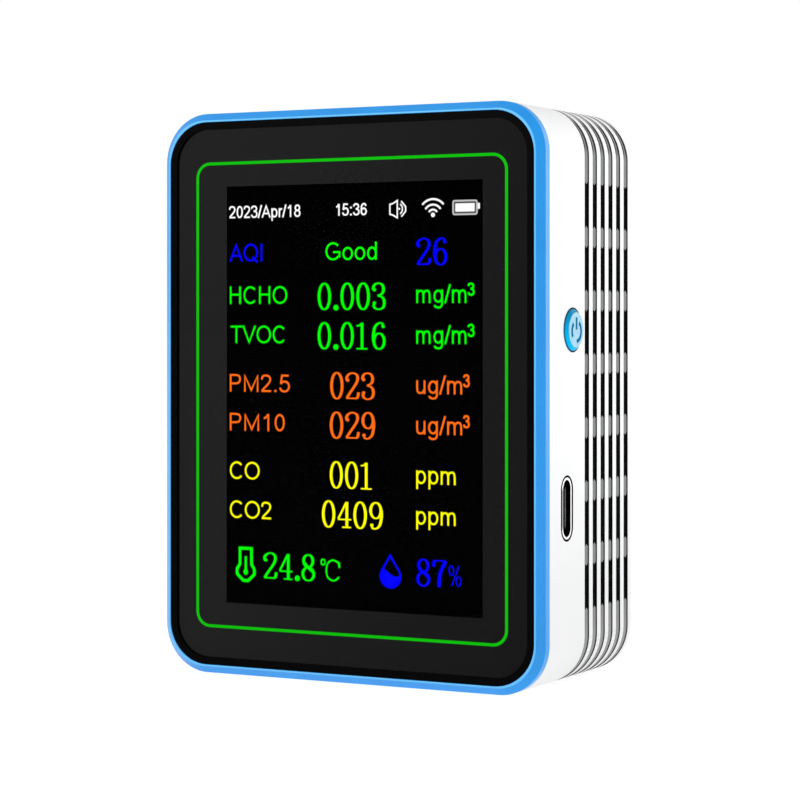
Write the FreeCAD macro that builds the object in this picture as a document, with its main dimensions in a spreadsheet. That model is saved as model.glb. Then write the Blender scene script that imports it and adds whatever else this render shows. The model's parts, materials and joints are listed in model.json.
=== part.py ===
"""Desktop air quality monitor, as a parametric FreeCAD document.

Frame: millimetres, +Z up, front of the display towards -Y, button and charging port on the +X side.
The origin is the centre of the footprint that the case rests on.
"""
import FreeCAD, Part
import math
import os

import Sketcher

V = FreeCAD.Vector
NOBODY = -1          # the sketch's own origin and axes
ORIGIN_POINT = 1
VERTICAL_AXIS = -2
START, END, CENTRE = 1, 2, 3
TOLERANCE = 1e-4     # mm, when faces and edges are picked by where they lie

# Driving dimensions: alias, value in mm, meaning.
SIZES = [
    ("case_width", 64.0, "outside, along X"),
    ("case_height", 85.0, "outside, along Z"),
    ("case_depth", 32.8, "front lip to back, along Y"),
    ("corner_radius", 7.35, "outside corners seen from the front"),
    ("wall", 2.0, "rear shell wall"),
    ("back_round", 1.0, "rounding of the shell's back edge"),
    ("fit_gap", 0.2, "clearance between the frame's spigot and the shell"),
    # front frame
    ("bezel_depth", 2.44, "front lip to the joint with the shell"),
    ("bezel_chamfer", 1.1, "outer front chamfer"),
    ("bezel_rim", 1.35, "outside to the window opening"),
    ("opening_radius", 6.35, "corners of the window opening"),
    ("lip_round", 0.12, "rounding of the opening's front edge"),
    ("ledge_depth", 2.2, "front lip to the ledge that carries the window"),
    ("ledge_thickness", 1.0, "ledge"),
    ("ledge_open_width", 51.4, "hole in the ledge for the display"),
    ("ledge_open_height", 71.2, "hole in the ledge for the display"),
    ("ledge_open_radius", 0.8, "hole in the ledge for the display"),
    ("spigot_depth", 2.0, "spigot behind the ledge"),
    ("spigot_wall", 1.2, "spigot"),
    # window, trim, mask and tape
    ("trim_width", 1.15, "black ring, visible width"),
    ("trim_recess", 0.12, "ring below the lip"),
    ("trim_play", 0.04, "ring to its neighbours"),
    ("window_recess", 0.2, "window face below the lip"),
    ("window_step", 0.6, "depth of the step that holds the ring"),
    ("window_thickness", 1.6, "window"),
    ("window_play", 0.15, "window's back part to the frame"),
    ("window_radius", 5.2, "corners of the window's face"),
    ("mask_glue", 0.02, "clear adhesive, window to film"),
    ("mask_thickness", 0.1, "printed film"),
    ("mask_margin", 0.05, "film inside the window's outline"),
    ("aperture_width", 43.4, "clear area of the film"),
    ("aperture_height", 62.8, "clear area of the film"),
    ("aperture_radius", 0.15, "clear area's corners"),
    ("tape_width", 3.6, "window tape"),
    # display module
    ("lcd_width", 48.8, "display glass"),
    ("lcd_height", 67.8, "display glass"),
    ("lcd_thickness", 1.2, "display glass"),
    ("lcd_gap", 0.08, "film to display glass"),
    ("backlight_thickness", 1.2, "backlight"),
    ("frame_width", 50.4, "display's steel tray"),
    ("frame_height", 70.0, "display's steel tray"),
    ("frame_sheet", 0.3, "display's steel tray"),
    ("display_tape_width", 40.0, "tape, display to board"),
    ("display_tape_height", 46.0, "tape, display to board"),
    # main board
    ("board_width", 56.0, "main board"),
    ("board_height", 65.0, "main board"),
    ("board_thickness", 1.6, "main board"),
    ("board_corner", 1.0, "main board's corners"),
    ("board_back", -9.65, "Y of the board's component face"),
    ("board_screw_x", 27.1, "board screws, from the middle"),
    ("board_screw_z", 28.5, "board screws, from mid height"),
    ("board_post_radius", 1.35, "posts that carry the board"),
    ("board_screw_radius", 0.6, "shank"),
    ("board_screw_head_radius", 1.3, "head"),
    ("board_screw_head", 0.8, "head height"),
    ("board_screw_length", 3.0, "under the head"),
    ("board_hole_radius", 0.8, "hole in the board"),
    # case screws
    ("boss_x", 26.8, "case screws, from the middle"),
    ("boss_z", 37.3, "case screws, from mid height"),
    ("boss_radius", 2.1, "frame's bosses"),
    ("boss_end", -8.0, "Y where the frame's and the shell's bosses meet"),
    ("case_screw_radius", 0.95, "shank"),
    ("case_screw_head_radius", 1.8, "head"),
    ("case_screw_head", 1.3, "head height"),
    ("case_screw_length", 25.0, "under the head"),
    ("case_screw_sink", 1.9, "head's seat below the back face"),
    ("recess_length", 2.1, "cross recess, tip to tip"),
    ("recess_width", 0.5, "cross recess, each arm"),
    ("recess_depth", 0.8, "cross recess"),
    ("screw_clearance", 0.2, "round the screws' shanks and heads"),
    # vents
    ("groove_count", 6, "grooves round the shell"),
    ("groove_first", -0.93, "Y of the first groove's middle"),
    ("groove_pitch", 2.905, "along Y"),
    ("groove_width", 1.6, "along Y"),
    ("groove_depth", 0.1, "below the outside"),
    ("slot_count", 7, "slots in each groove"),
    ("slot_pitch", 9.33, "along Z"),
    ("slot_width", 1.5, "along Y"),
    ("slot_length", 7.13, "along Z, between the corners"),
    ("slot_notch", 0.5, "how far each end points into the slot"),
    ("filter_plate", 0.75, "filter's backing plate"),
    ("filter_margin", 1.0, "plate beyond the slots"),
    ("filter_play", 0.05, "filter to shell"),
    ("filter_sink", 0.1, "filter's bars below the groove's floor"),
    # power button and its switch
    ("button_y", -5.98, "button's axis"),
    ("button_z", 52.2, "button's axis"),
    ("button_radius", 3.1, "cap"),
    ("button_proud", 0.6, "cap above the case"),
    ("button_bevel", 0.6, "cap's outer edge"),
    ("button_gap", 0.14, "cap to hole"),
    ("button_inner", 29.3, "X of the flange's inner face"),
    ("flange_radius", 4.0, "retaining flange"),
    ("flange_thickness", 0.6, "retaining flange"),
    ("stem_radius", 1.3, "stem"),
    ("stem_end", 27.0, "X where the stem meets the plunger"),
    ("plunger_radius", 0.9, "switch plunger"),
    ("plunger_length", 2.4, "switch plunger"),
    ("plunger_gap", 0.06, "plunger to its bore"),
    ("switch_face", 25.9, "X of the switch body's front"),
    ("switch_depth", 3.5, "along X"),
    ("switch_height", 6.0, "along Z"),
    ("switch_tall", 5.7, "above the board"),
    ("switch_bore", 2.0, "depth of the plunger's bore"),
    # charging port
    ("port_y", -8.0, "port's axis"),
    ("port_z", 26.45, "port's axis"),
    ("port_open_length", 9.42, "opening in the case, along Z"),
    ("port_open_width", 4.09, "opening in the case, along Y"),
    ("port_length", 8.94, "metal shell, along Z"),
    ("port_width", 3.26, "metal shell, along Y"),
    ("port_wall", 0.33, "metal shell"),
    ("port_depth", 7.4, "metal shell, along X"),
    ("port_sink", 0.02, "rim below the outside of the case"),
    ("port_back", 0.8, "closed end"),
    ("tongue_length", 6.7, "tongue, along Z"),
    ("tongue_thickness", 0.7, "tongue, along Y"),
    ("tongue_sink", 1.0, "tongue's tip below the rim"),
    # battery and its lead
    ("battery_width", 40.0, "along X"),
    ("battery_height", 32.0, "along Z"),
    ("battery_thickness", 6.0, "along Y"),
    ("battery_round", 1.5, "pouch edges"),
    ("battery_x", -4.0, "battery's middle"),
    ("battery_z", 22.0, "battery's middle"),
    ("battery_tape_thickness", 0.2, "tape, battery to back wall"),
    ("lead_radius", 0.45, "battery wire"),
    ("lead_spacing", 2.0, "between the two wires"),
    ("lead_bend", 4.4, "radius of the wires' bend"),
    ("lead_y", 10.5, "wires leave the battery here"),
    ("plug_x", 21.6, "battery plug"),
    ("plug_z", 34.0, "battery plug"),
    ("plug_width", 4.4, "along X"),
    ("plug_height", 5.4, "along Z"),
    ("socket_tall", 3.4, "socket above the board"),
    ("plug_tall", 1.8, "plug above the socket"),
    # particle sensor
    ("sensor_width", 38.0, "along X"),
    ("sensor_height", 35.0, "along Z"),
    ("sensor_depth", 12.0, "along Y, with its lid"),
    ("sensor_x", -7.0, "sensor's middle"),
    ("sensor_z", 58.0, "sensor's middle"),
    ("sensor_front", 1.0, "Y of its front face"),
    ("sensor_wall", 1.0, "walls and lid"),
    ("fan_x", -15.0, "fan's axis"),
    ("fan_z", 64.0, "fan's axis"),
    ("fan_radius", 7.4, "blade tips"),
    ("fan_hub_radius", 3.4, "hub"),
    ("fan_depth", 3.6, "hub and blades, along Y"),
    ("fan_blades", 7, "blades"),
    ("fan_blade_thickness", 0.8, "blade"),
    ("fan_blade_root", 0.5, "blade's root inside the hub"),
    ("fan_blade_round", 0.3, "blade's edges"),
    ("fan_shaft_radius", 0.8, "shaft"),
    ("fan_shaft_gap", 0.05, "shaft to bore"),
    ("fan_lift", 2.2, "sensor floor to hub"),
    ("fan_port_radius", 7.8, "air hole in the lid"),
    ("stator_radius", 3.2, "stator"),
    ("stator_thickness", 1.6, "stator"),
    # wireless module's shield
    ("shield_tall", 2.2, "above the module"),
    ("shield_inset", 0.5, "inside the module's outline"),
    ("antenna_height", 6.0, "module's end that the shield leaves open"),
    # display flex
    ("flex_width", 18.0, "along X"),
    ("flex_thickness", 0.12, "ribbon"),
    ("flex_top", 14.0, "Z where it leaves the display"),
    ("flex_bend_z", 8.9, "Z of the bend's middle"),
    ("flex_end", 12.5, "Z where it enters the connector"),
    ("connector_height", 3.2, "flex connector, along Z"),
    ("connector_tall", 1.6, "flex connector above the board"),
]

# Boxes soldered to the board: width along X, height along Z, how tall they stand, middle X, middle Z.
BOARD_BOXES = {
    "co2_sensor": (20.0, 11.0, 7.0, -14.0, 52.0),
    "voc_sensor": (3.0, 3.0, 1.0, -8.0, 69.0),
    "temperature_humidity_sensor": (3.0, 5.0, 1.2, 24.5, 66.0),
    "wireless_module": (16.0, 24.0, 0.8, 8.0, 56.0),
    "controller_chip": (10.0, 10.0, 1.4, 0.0, 25.0),
    "power_chip": (5.0, 4.0, 1.5, 13.0, 24.0),
}
BOX_SIZES = ("width", "height", "tall", "x", "z")

# Round parts soldered to the board: radius, how tall they stand, middle X, middle Z.
BOARD_CYLINDERS = {
    "formaldehyde_sensor": (5.0, 5.5, -20.0, 36.0),
    "carbon_monoxide_sensor": (4.6, 8.0, -8.0, 38.0),
    "buzzer": (4.5, 3.6, 12.0, 36.0),
}
CYLINDER_SIZES = ("radius", "tall", "x", "z")

doc = FreeCAD.newDocument("air_quality_monitor")
sheet = doc.addObject("Spreadsheet::Sheet", "Sizes")
parts = {}


def fill_sheet():
    """One row for each driving dimension: name, value, meaning."""
    rows = list(SIZES)
    for name, values in BOARD_BOXES.items():
        rows += [(f"{name}_{key}", value, "board part") for key, value in zip(BOX_SIZES, values)]
    for name, values in BOARD_CYLINDERS.items():
        rows += [(f"{name}_{key}", value, "board part") for key, value in zip(CYLINDER_SIZES, values)]
    for row, (alias, value, meaning) in enumerate(rows, start=1):
        sheet.set(f"A{row}", alias)
        sheet.set(f"B{row}", str(value))
        sheet.set(f"C{row}", meaning)
        sheet.setAlias(f"B{row}", alias)
    doc.recompute()


def bound(formula):
    """The formula with each alias written as the expression engine wants it."""
    words = []
    word = ""
    for character in formula + " ":
        if character.isalnum() or character == "_":
            word += character
            continue
        if word:
            words.append("Sizes." + word if word[0].isalpha() else word)
            word = ""
        words.append(character)
    return "".join(words).strip()


def value_of(formula):
    """The formula's number, in mm."""
    return float(sheet.evalExpression(bound(formula)))


def bind(thing, path, formula):
    """Binds one property of an object to a formula of sheet aliases."""
    thing.setExpression(path, bound(formula))


def add_part(name, thing):
    """Keeps the finished object under the node's name."""
    thing.Label = name
    parts[name] = thing
    return thing


# --- sketches ---------------------------------------------------------------------------------


def origin_feature(body, role):
    """One of the body's own origin planes or axes."""
    return next(feature for feature in body.Origin.OriginFeatures if feature.Role == role)


def new_body(name):
    """An empty body whose Label is the node's name."""
    return add_part(name, doc.addObject("PartDesign::Body", name))


def new_sketch(body, name, plane, across, up, out):
    """A sketch on an origin plane, moved by three formulas in the plane's own axes."""
    sketch = body.newObject("Sketcher::SketchObject", name)
    sketch.AttachmentSupport = [(origin_feature(body, plane), "")]
    sketch.MapMode = "FlatFace"
    bind(sketch, "AttachmentOffset.Base.x", across)
    bind(sketch, "AttachmentOffset.Base.y", up)
    bind(sketch, "AttachmentOffset.Base.z", out)
    return sketch


def front_sketch(body, name, y, x="0", z="case_height / 2"):
    """A sketch parallel to the display, at depth y; its normal points to the front."""
    return new_sketch(body, name, "XZ_Plane", x, z, f"-({y})")


def side_sketch(body, name, x, y, z):
    """A sketch parallel to the case's sides, at x; its normal points to +X."""
    return new_sketch(body, name, "YZ_Plane", y, z, x)


def drive(sketch, constraint, formula):
    """Adds a dimension and binds it to a formula."""
    index = sketch.addConstraint(constraint)
    sketch.setExpression(f"Constraints[{index}]", bound(formula))


def line(sketch, x1, y1, x2, y2):
    """One straight edge."""
    return sketch.addGeometry(Part.LineSegment(V(x1, y1, 0), V(x2, y2, 0)), False)


def arc(sketch, x, y, radius, start, end):
    """One arc, from start to end in degrees."""
    circle = Part.Circle(V(x, y, 0), V(0, 0, 1), radius)
    return sketch.addGeometry(Part.ArcOfCircle(circle, math.radians(start), math.radians(end)), False)


def join(sketch, loop, kind):
    """Joins each edge's end to the next one's start; kind is Tangent or Coincident."""
    for first, second in zip(loop, loop[1:] + loop[:1]):
        sketch.addConstraint(Sketcher.Constraint(kind, first, END, second, START))


def place(sketch, kind, edge, end, sign, formula):
    """Holds one point of an edge at plus or minus a formula from the sketch's origin."""
    ends = [(NOBODY, ORIGIN_POINT), (edge, end)]
    first, second = ends if sign > 0 else ends[::-1]
    drive(sketch, Sketcher.Constraint(kind, *first, *second, value_of(formula)), formula)


def add_rounded_rectangle(sketch, width, height, radius):
    """A closed rounded rectangle about the sketch's origin."""
    half_width, half_height, r = value_of(width) / 2, value_of(height) / 2, value_of(radius)
    inner_x, inner_y = half_width - r, half_height - r
    bottom = line(sketch, -inner_x, -half_height, inner_x, -half_height)
    arc_1 = arc(sketch, inner_x, -inner_y, r, -90, 0)
    right = line(sketch, half_width, -inner_y, half_width, inner_y)
    arc_2 = arc(sketch, inner_x, inner_y, r, 0, 90)
    top = line(sketch, inner_x, half_height, -inner_x, half_height)
    arc_3 = arc(sketch, -inner_x, inner_y, r, 90, 180)
    left = line(sketch, -half_width, inner_y, -half_width, -inner_y)
    arc_4 = arc(sketch, -inner_x, -inner_y, r, 180, 270)
    join(sketch, [bottom, arc_1, right, arc_2, top, arc_3, left, arc_4], "Tangent")
    for edge in (bottom, top):
        sketch.addConstraint(Sketcher.Constraint("Horizontal", edge))
    for edge in (left, right):
        sketch.addConstraint(Sketcher.Constraint("Vertical", edge))
    for other in (arc_2, arc_3, arc_4):
        sketch.addConstraint(Sketcher.Constraint("Equal", arc_1, other))
    place(sketch, "DistanceX", left, START, -1, f"({width}) / 2")
    place(sketch, "DistanceX", right, START, 1, f"({width}) / 2")
    place(sketch, "DistanceY", bottom, START, -1, f"({height}) / 2")
    place(sketch, "DistanceY", top, START, 1, f"({height}) / 2")
    drive(sketch, Sketcher.Constraint("Radius", arc_1, r), radius)


def add_stadium(sketch, length, width):
    """A slot with round ends about the sketch's origin, its length along the sketch's Y."""
    r = value_of(width) / 2
    reach = value_of(length) / 2 - r
    right = line(sketch, r, -reach, r, reach)
    top = arc(sketch, 0, reach, r, 0, 180)
    left = line(sketch, -r, reach, -r, -reach)
    bottom = arc(sketch, 0, -reach, r, 180, 360)
    join(sketch, [right, top, left, bottom], "Tangent")
    sketch.addConstraint(Sketcher.Constraint("Vertical", right))
    for end, sign in ((top, 1), (bottom, -1)):
        sketch.addConstraint(Sketcher.Constraint("PointOnObject", end, CENTRE, VERTICAL_AXIS))
        place(sketch, "DistanceY", end, CENTRE, sign, f"({length}) / 2 - ({width}) / 2")
    drive(sketch, Sketcher.Constraint("Radius", top, r), f"({width}) / 2")


def add_circle(sketch, radius):
    """A circle about the sketch's origin."""
    circle = sketch.addGeometry(Part.Circle(V(0, 0, 0), V(0, 0, 1), value_of(radius)), False)
    sketch.addConstraint(Sketcher.Constraint("Coincident", circle, CENTRE, NOBODY, ORIGIN_POINT))
    drive(sketch, Sketcher.Constraint("Radius", circle, value_of(radius)), radius)


def add_four_circles(sketch, radius, x, y):
    """Four circles, at plus and minus x and y from the sketch's origin."""
    across, up, r = value_of(x), value_of(y), value_of(radius)
    for sign_x in (-1, 1):
        for sign_y in (-1, 1):
            centre = V(sign_x * across, sign_y * up, 0)
            circle = sketch.addGeometry(Part.Circle(centre, V(0, 0, 1), r), False)
            place(sketch, "DistanceX", circle, CENTRE, sign_x, x)
            place(sketch, "DistanceY", circle, CENTRE, sign_y, y)
            drive(sketch, Sketcher.Constraint("Radius", circle, r), radius)


def add_polygon(sketch, corners):
    """A closed polygon; each corner is a pair of formulas from the sketch's origin, none of them zero."""
    points = [(value_of(x), value_of(y)) for x, y in corners]
    edges = [line(sketch, *a, *b) for a, b in zip(points, points[1:] + points[:1])]
    join(sketch, edges, "Coincident")
    for edge, (x, y), (across, up) in zip(edges, points, corners):
        for kind, value, formula in (("DistanceX", x, across), ("DistanceY", y, up)):
            sign = math.copysign(1, value)
            place(sketch, kind, edge, START, sign, formula if value > 0 else f"-({formula})")


def add_notched_slot(sketch, width, length, notch):
    """A slot whose two ends point inwards, as six straight edges about the sketch's origin."""
    half_width, half_length, depth = value_of(width) / 2, value_of(length) / 2, value_of(notch)
    corners = [
        (-half_width, half_length), (-half_width, -half_length), (0, -half_length + depth),
        (half_width, -half_length), (half_width, half_length), (0, half_length - depth),
    ]
    edges = [line(sketch, *a, *b) for a, b in zip(corners, corners[1:] + corners[:1])]
    join(sketch, edges, "Coincident")
    left, bottom_tip, right, top_tip = edges[0], edges[2], edges[3], edges[5]
    for edge, side in ((left, -1), (right, 1)):
        sketch.addConstraint(Sketcher.Constraint("Vertical", edge))
        place(sketch, "DistanceX", edge, START, side, f"({width}) / 2")
    place(sketch, "DistanceY", left, START, 1, f"({length}) / 2")
    place(sketch, "DistanceY", left, END, -1, f"({length}) / 2")
    sketch.addConstraint(Sketcher.Constraint("Horizontal", right, START, left, END))
    sketch.addConstraint(Sketcher.Constraint("Horizontal", right, END, left, START))
    for tip, sign in ((top_tip, 1), (bottom_tip, -1)):
        sketch.addConstraint(Sketcher.Constraint("PointOnObject", tip, START, VERTICAL_AXIS))
        place(sketch, "DistanceY", tip, START, sign, f"({length}) / 2 - ({notch})")


# --- features ---------------------------------------------------------------------------------


def volume(body):
    """The body's present volume, 0 for an empty one."""
    return 0.0 if body.Shape.isNull() else body.Shape.Volume


def extrude(body, kind, sketch, length, backwards):
    """A Pad or Pocket of a formula's length. A front sketch goes backwards to run towards +Y."""
    before = volume(body)
    feature = body.newObject(f"PartDesign::{kind}", f"{kind}_{sketch.Name}")
    feature.Profile = (sketch, [""])
    bind(feature, "Length", length)
    feature.Reversed = backwards
    sketch.Visibility = False
    doc.recompute()
    change = volume(body) - before
    if (kind == "Pad") != (change > 0):
        raise RuntimeError(f"{feature.Name} changed the volume by {change:.4f}")
    return feature


def pad_back(body, sketch, length):
    """Pads a front sketch towards the back."""
    return extrude(body, "Pad", sketch, length, True)


def cut_back(body, sketch, length):
    """Cuts from a front sketch towards the back."""
    return extrude(body, "Pocket", sketch, length, False)


def pad_out(body, sketch, length):
    """Pads a side sketch towards +X."""
    return extrude(body, "Pad", sketch, length, False)


def cut_in(body, sketch, length):
    """Cuts from a side sketch towards -X."""
    return extrude(body, "Pocket", sketch, length, False)


def face_at(feature, axis, highest):
    """Name of the flat face square to an axis ("X", "Y" or "Z") that lies furthest along it."""
    flat = []
    for number, face in enumerate(feature.Shape.Faces, start=1):
        low = getattr(face.BoundBox, f"{axis}Min")
        high = getattr(face.BoundBox, f"{axis}Max")
        if high - low < TOLERANCE:
            flat.append((high, f"Face{number}"))
    return (max(flat) if highest else min(flat))[1]


def edges_in_opening(feature, width, height):
    """Names of the edges on the front plane that lie within a centred opening."""
    half_width, half_height, middle = value_of(width) / 2, value_of(height) / 2, value_of(MIDDLE)
    found = []
    for number, edge in enumerate(feature.Shape.Edges, start=1):
        box = edge.BoundBox
        across = max(box.XMax, -box.XMin)
        up = max(box.ZMax - middle, middle - box.ZMin)
        outside = max(across - half_width, up - half_height, box.YMax - value_of(FRONT))
        if outside < TOLERANCE:
            found.append(f"Edge{number}")
    return found


def dress(body, kind, base, edges, size_name, size):
    """A Fillet or Chamfer of named edges or faces."""
    feature = body.newObject(f"PartDesign::{kind}", f"{kind}_{base.Name}")
    feature.Base = (base, edges)
    bind(feature, size_name, size)
    doc.recompute()
    return feature


def linear(body, name, axis, count, spacing):
    """A LinearPattern along one of the body's axes, with nothing in it yet."""
    feature = body.newObject("PartDesign::LinearPattern", name)
    feature.Direction = (origin_feature(body, axis), [""])
    feature.Mode = "Spacing"
    bind(feature, "Occurrences", count)
    bind(feature, "Offset", spacing)
    return feature


def pattern(body, original, name, axis, count, spacing):
    """Repeats a feature along one axis."""
    feature = linear(body, name, axis, count, spacing)
    feature.Originals = [original]
    body.Tip = feature
    doc.recompute()


def grid(body, original, name, across, up):
    """Repeats a feature along two axes; across and up are (axis, count, spacing)."""
    feature = body.newObject("PartDesign::MultiTransform", name)
    feature.Originals = [original]
    feature.Transformations = [
        linear(body, f"{name}_across", *across),
        linear(body, f"{name}_up", *up),
    ]
    body.Tip = feature
    doc.recompute()


FRONT = "-case_depth / 2"
BACK = "case_depth / 2"
SIDE = "case_width / 2"
OPENING_WIDTH = "case_width - 2 * bezel_rim"
OPENING_HEIGHT = "case_height - 2 * bezel_rim"
INSIDE_RADIUS = "corner_radius - wall"
MIDDLE = "case_height / 2"
LOWEST_SLOT = "case_height / 2 - slot_pitch * (slot_count - 1) / 2"
SLOTS_ACROSS = ("Y_Axis", "groove_count", "groove_pitch")
SLOTS_UP = ("Z_Axis", "slot_count", "slot_pitch")


def behind_front(*depths):
    """Y at the sum of some depths behind the front lip."""
    return " + ".join((FRONT,) + depths)


def add_outline(sketch, width, height, radius, inset):
    """A rounded rectangle drawn inset from another by a formula."""
    twice = f"2 * ({inset})"
    inner_width, inner_height = f"({width}) - {twice}", f"({height}) - {twice}"
    add_rounded_rectangle(sketch, inner_width, inner_height, f"({radius}) - ({inset})")


# --- casing -----------------------------------------------------------------------------------


def make_front_bezel():
    """Blue frame: chamfered rim, ledge for the window, spigot, screw bosses and board posts."""
    body = new_body("front_bezel")
    rim = front_sketch(body, "rim", FRONT)
    add_rounded_rectangle(rim, "case_width", "case_height", "corner_radius")
    plate = pad_back(body, rim, "bezel_depth")
    dress(body, "Chamfer", plate, [face_at(plate, "Y", False)], "Size", "bezel_chamfer")
    opening = front_sketch(body, "opening", FRONT)
    add_rounded_rectangle(opening, OPENING_WIDTH, OPENING_HEIGHT, "opening_radius")
    well = cut_back(body, opening, "ledge_depth")
    lip = edges_in_opening(well, OPENING_WIDTH, OPENING_HEIGHT)
    dress(body, "Fillet", well, lip, "Radius", "lip_round")
    ledge = front_sketch(body, "ledge", behind_front("ledge_depth"))
    add_outline(ledge, "case_width", "case_height", "corner_radius", "wall + fit_gap")
    pad_back(body, ledge, "ledge_thickness")
    spigot = front_sketch(body, "spigot", behind_front("ledge_depth", "ledge_thickness"))
    add_outline(spigot, "case_width", "case_height", "corner_radius", "wall + fit_gap")
    add_outline(spigot, "case_width", "case_height", "corner_radius", "wall + fit_gap + spigot_wall")
    pad_back(body, spigot, "spigot_depth")
    bosses = front_sketch(body, "bosses", behind_front("ledge_depth"))
    add_four_circles(bosses, "boss_radius", "boss_x", "boss_z")
    pad_back(body, bosses, f"boss_end - ({behind_front('ledge_depth')})")
    posts = front_sketch(body, "posts", behind_front("ledge_depth"))
    add_four_circles(posts, "board_post_radius", "board_screw_x", "board_screw_z")
    pad_back(body, posts, f"board_back - board_thickness - ({behind_front('ledge_depth')})")
    display_hole = front_sketch(body, "display_hole", FRONT)
    add_rounded_rectangle(display_hole, "ledge_open_width", "ledge_open_height", "ledge_open_radius")
    cut_back(body, display_hole, "case_depth")
    boss_bores = front_sketch(body, "boss_bores", behind_front("ledge_depth", "ledge_thickness"))
    add_four_circles(boss_bores, "case_screw_radius", "boss_x", "boss_z")
    cut_back(body, boss_bores, "case_depth")
    post_bores = front_sketch(body, "post_bores", behind_front("ledge_depth", "ledge_thickness / 2"))
    add_four_circles(post_bores, "board_screw_radius", "board_screw_x", "board_screw_z")
    cut_back(body, post_bores, "case_depth")


def make_rear_shell():
    """White tub with grooves round it, slots in both sides, openings on the right and screw bosses."""
    body = new_body("rear_shell")
    joint = behind_front("bezel_depth")
    outline = front_sketch(body, "outline", joint)
    add_rounded_rectangle(outline, "case_width", "case_height", "corner_radius")
    block = pad_back(body, outline, "case_depth - bezel_depth")
    dress(body, "Fillet", block, [face_at(block, "Y", True)], "Radius", "back_round")
    cavity = front_sketch(body, "cavity", joint)
    add_outline(cavity, "case_width", "case_height", "corner_radius", "wall")
    cut_back(body, cavity, "case_depth - bezel_depth - wall")
    bosses = front_sketch(body, "shell_bosses", "boss_end")
    add_four_circles(bosses, "boss_radius", "boss_x", "boss_z")
    pad_back(body, bosses, f"{BACK} - boss_end - wall / 2")
    bores = front_sketch(body, "shell_bores", "boss_end - wall")
    add_four_circles(bores, "case_screw_radius + screw_clearance", "boss_x", "boss_z")
    cut_back(body, bores, "case_depth")
    seats = front_sketch(body, "screw_seats", f"{BACK} - case_screw_sink")
    add_four_circles(seats, "case_screw_head_radius + screw_clearance", "boss_x", "boss_z")
    cut_back(body, seats, "case_screw_sink * 2")
    ring = front_sketch(body, "groove", "groove_first - groove_width / 2")
    add_outline(ring, "case_width", "case_height", "corner_radius", "-wall")
    add_outline(ring, "case_width", "case_height", "corner_radius", "groove_depth")
    groove = cut_back(body, ring, "groove_width")
    pattern(body, groove, "grooves", *SLOTS_ACROSS)
    slot = side_sketch(body, "slot", "0", "groove_first", LOWEST_SLOT)
    add_notched_slot(slot, "slot_width", "slot_length", "slot_notch")
    through = body.newObject("PartDesign::Pocket", "Pocket_slot")
    through.Profile = (slot, [""])
    through.SideType = "Symmetric"
    bind(through, "Length", "case_width * 2")
    slot.Visibility = False
    doc.recompute()
    grid(body, through, "slots", SLOTS_ACROSS, SLOTS_UP)
    button_hole = side_sketch(body, "button_hole", f"{SIDE} + wall", "button_y", "button_z")
    add_circle(button_hole, "button_radius + button_gap")
    cut_in(body, button_hole, "wall * 3")
    port_hole = side_sketch(body, "port_hole", f"{SIDE} + wall", "port_y", "port_z")
    add_stadium(port_hole, "port_open_length", "port_open_width")
    cut_in(body, port_hole, "wall * 3")


def make_case_screws():
    """Four screws from the back, seated in the shell and threaded into the frame's bosses."""
    body = new_body("case_screws")
    body.AllowCompound = True
    seat = f"{BACK} - case_screw_sink"
    shanks = front_sketch(body, "case_shanks", f"{seat} - case_screw_length")
    add_four_circles(shanks, "case_screw_radius", "boss_x", "boss_z")
    pad_back(body, shanks, "case_screw_length")
    heads = front_sketch(body, "case_heads", seat)
    add_four_circles(heads, "case_screw_head_radius", "boss_x", "boss_z")
    pad_back(body, heads, "case_screw_head")
    tip, side = "recess_length / 2", "recess_width / 2"
    cross = [
        (tip, side), (side, side), (side, tip), (f"-{side}", tip), (f"-{side}", side), (f"-{tip}", side),
        (f"-{tip}", f"-{side}"), (f"-{side}", f"-{side}"), (f"-{side}", f"-{tip}"),
        (side, f"-{tip}"), (side, f"-{side}"), (tip, f"-{side}"),
    ]
    top = f"{seat} + case_screw_head - recess_depth"
    recess = front_sketch(body, "recess", top, "-boss_x", "case_height / 2 - boss_z")
    add_polygon(recess, cross)
    first = cut_back(body, recess, "recess_depth * 2")
    grid(body, first, "recesses", ("X_Axis", "2", "2 * boss_x"), ("Z_Axis", "2", "2 * boss_z"))


def make_filters():
    """Right filter: a plate inside the wall with a bar in every slot. The left one is its mirror image."""
    body = new_body("right_dust_filter")
    inner_wall = f"{SIDE} - wall - filter_play"
    middle = "groove_first + groove_pitch * (groove_count - 1) / 2"
    backing = side_sketch(body, "backing", f"{inner_wall} - filter_plate", middle, "case_height / 2")
    across = "groove_pitch * (groove_count - 1) + slot_width + filter_play"
    up = "slot_pitch * (slot_count - 1) + slot_length + 2 * filter_margin"
    add_rounded_rectangle(backing, across, up, "filter_margin / 2")
    pad_out(body, backing, "filter_plate")
    bar = side_sketch(body, "bar", inner_wall, "groove_first", LOWEST_SLOT)
    add_notched_slot(bar, "slot_width - 2 * filter_play", "slot_length - 4 * filter_play", "slot_notch")
    reach = "wall + filter_play - groove_depth - filter_sink"
    grid(body, pad_out(body, bar, reach), "bars", SLOTS_ACROSS, SLOTS_UP)
    mirror = doc.addObject("Part::Mirroring", "left_dust_filter")
    mirror.Source = body
    mirror.Normal = V(1, 0, 0)
    add_part("left_dust_filter", mirror)


# --- window and display -----------------------------------------------------------------------


def make_window_trim():
    """Black ring that sits in the window's step, just below the blue lip."""
    body = new_body("window_trim")
    ring = front_sketch(body, "trim", behind_front("trim_recess"))
    add_outline(ring, OPENING_WIDTH, OPENING_HEIGHT, "opening_radius", "trim_play")
    add_outline(ring, OPENING_WIDTH, OPENING_HEIGHT, "opening_radius", "trim_width - trim_play")
    pad_back(body, ring, "window_recess + window_step - trim_recess")


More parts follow.
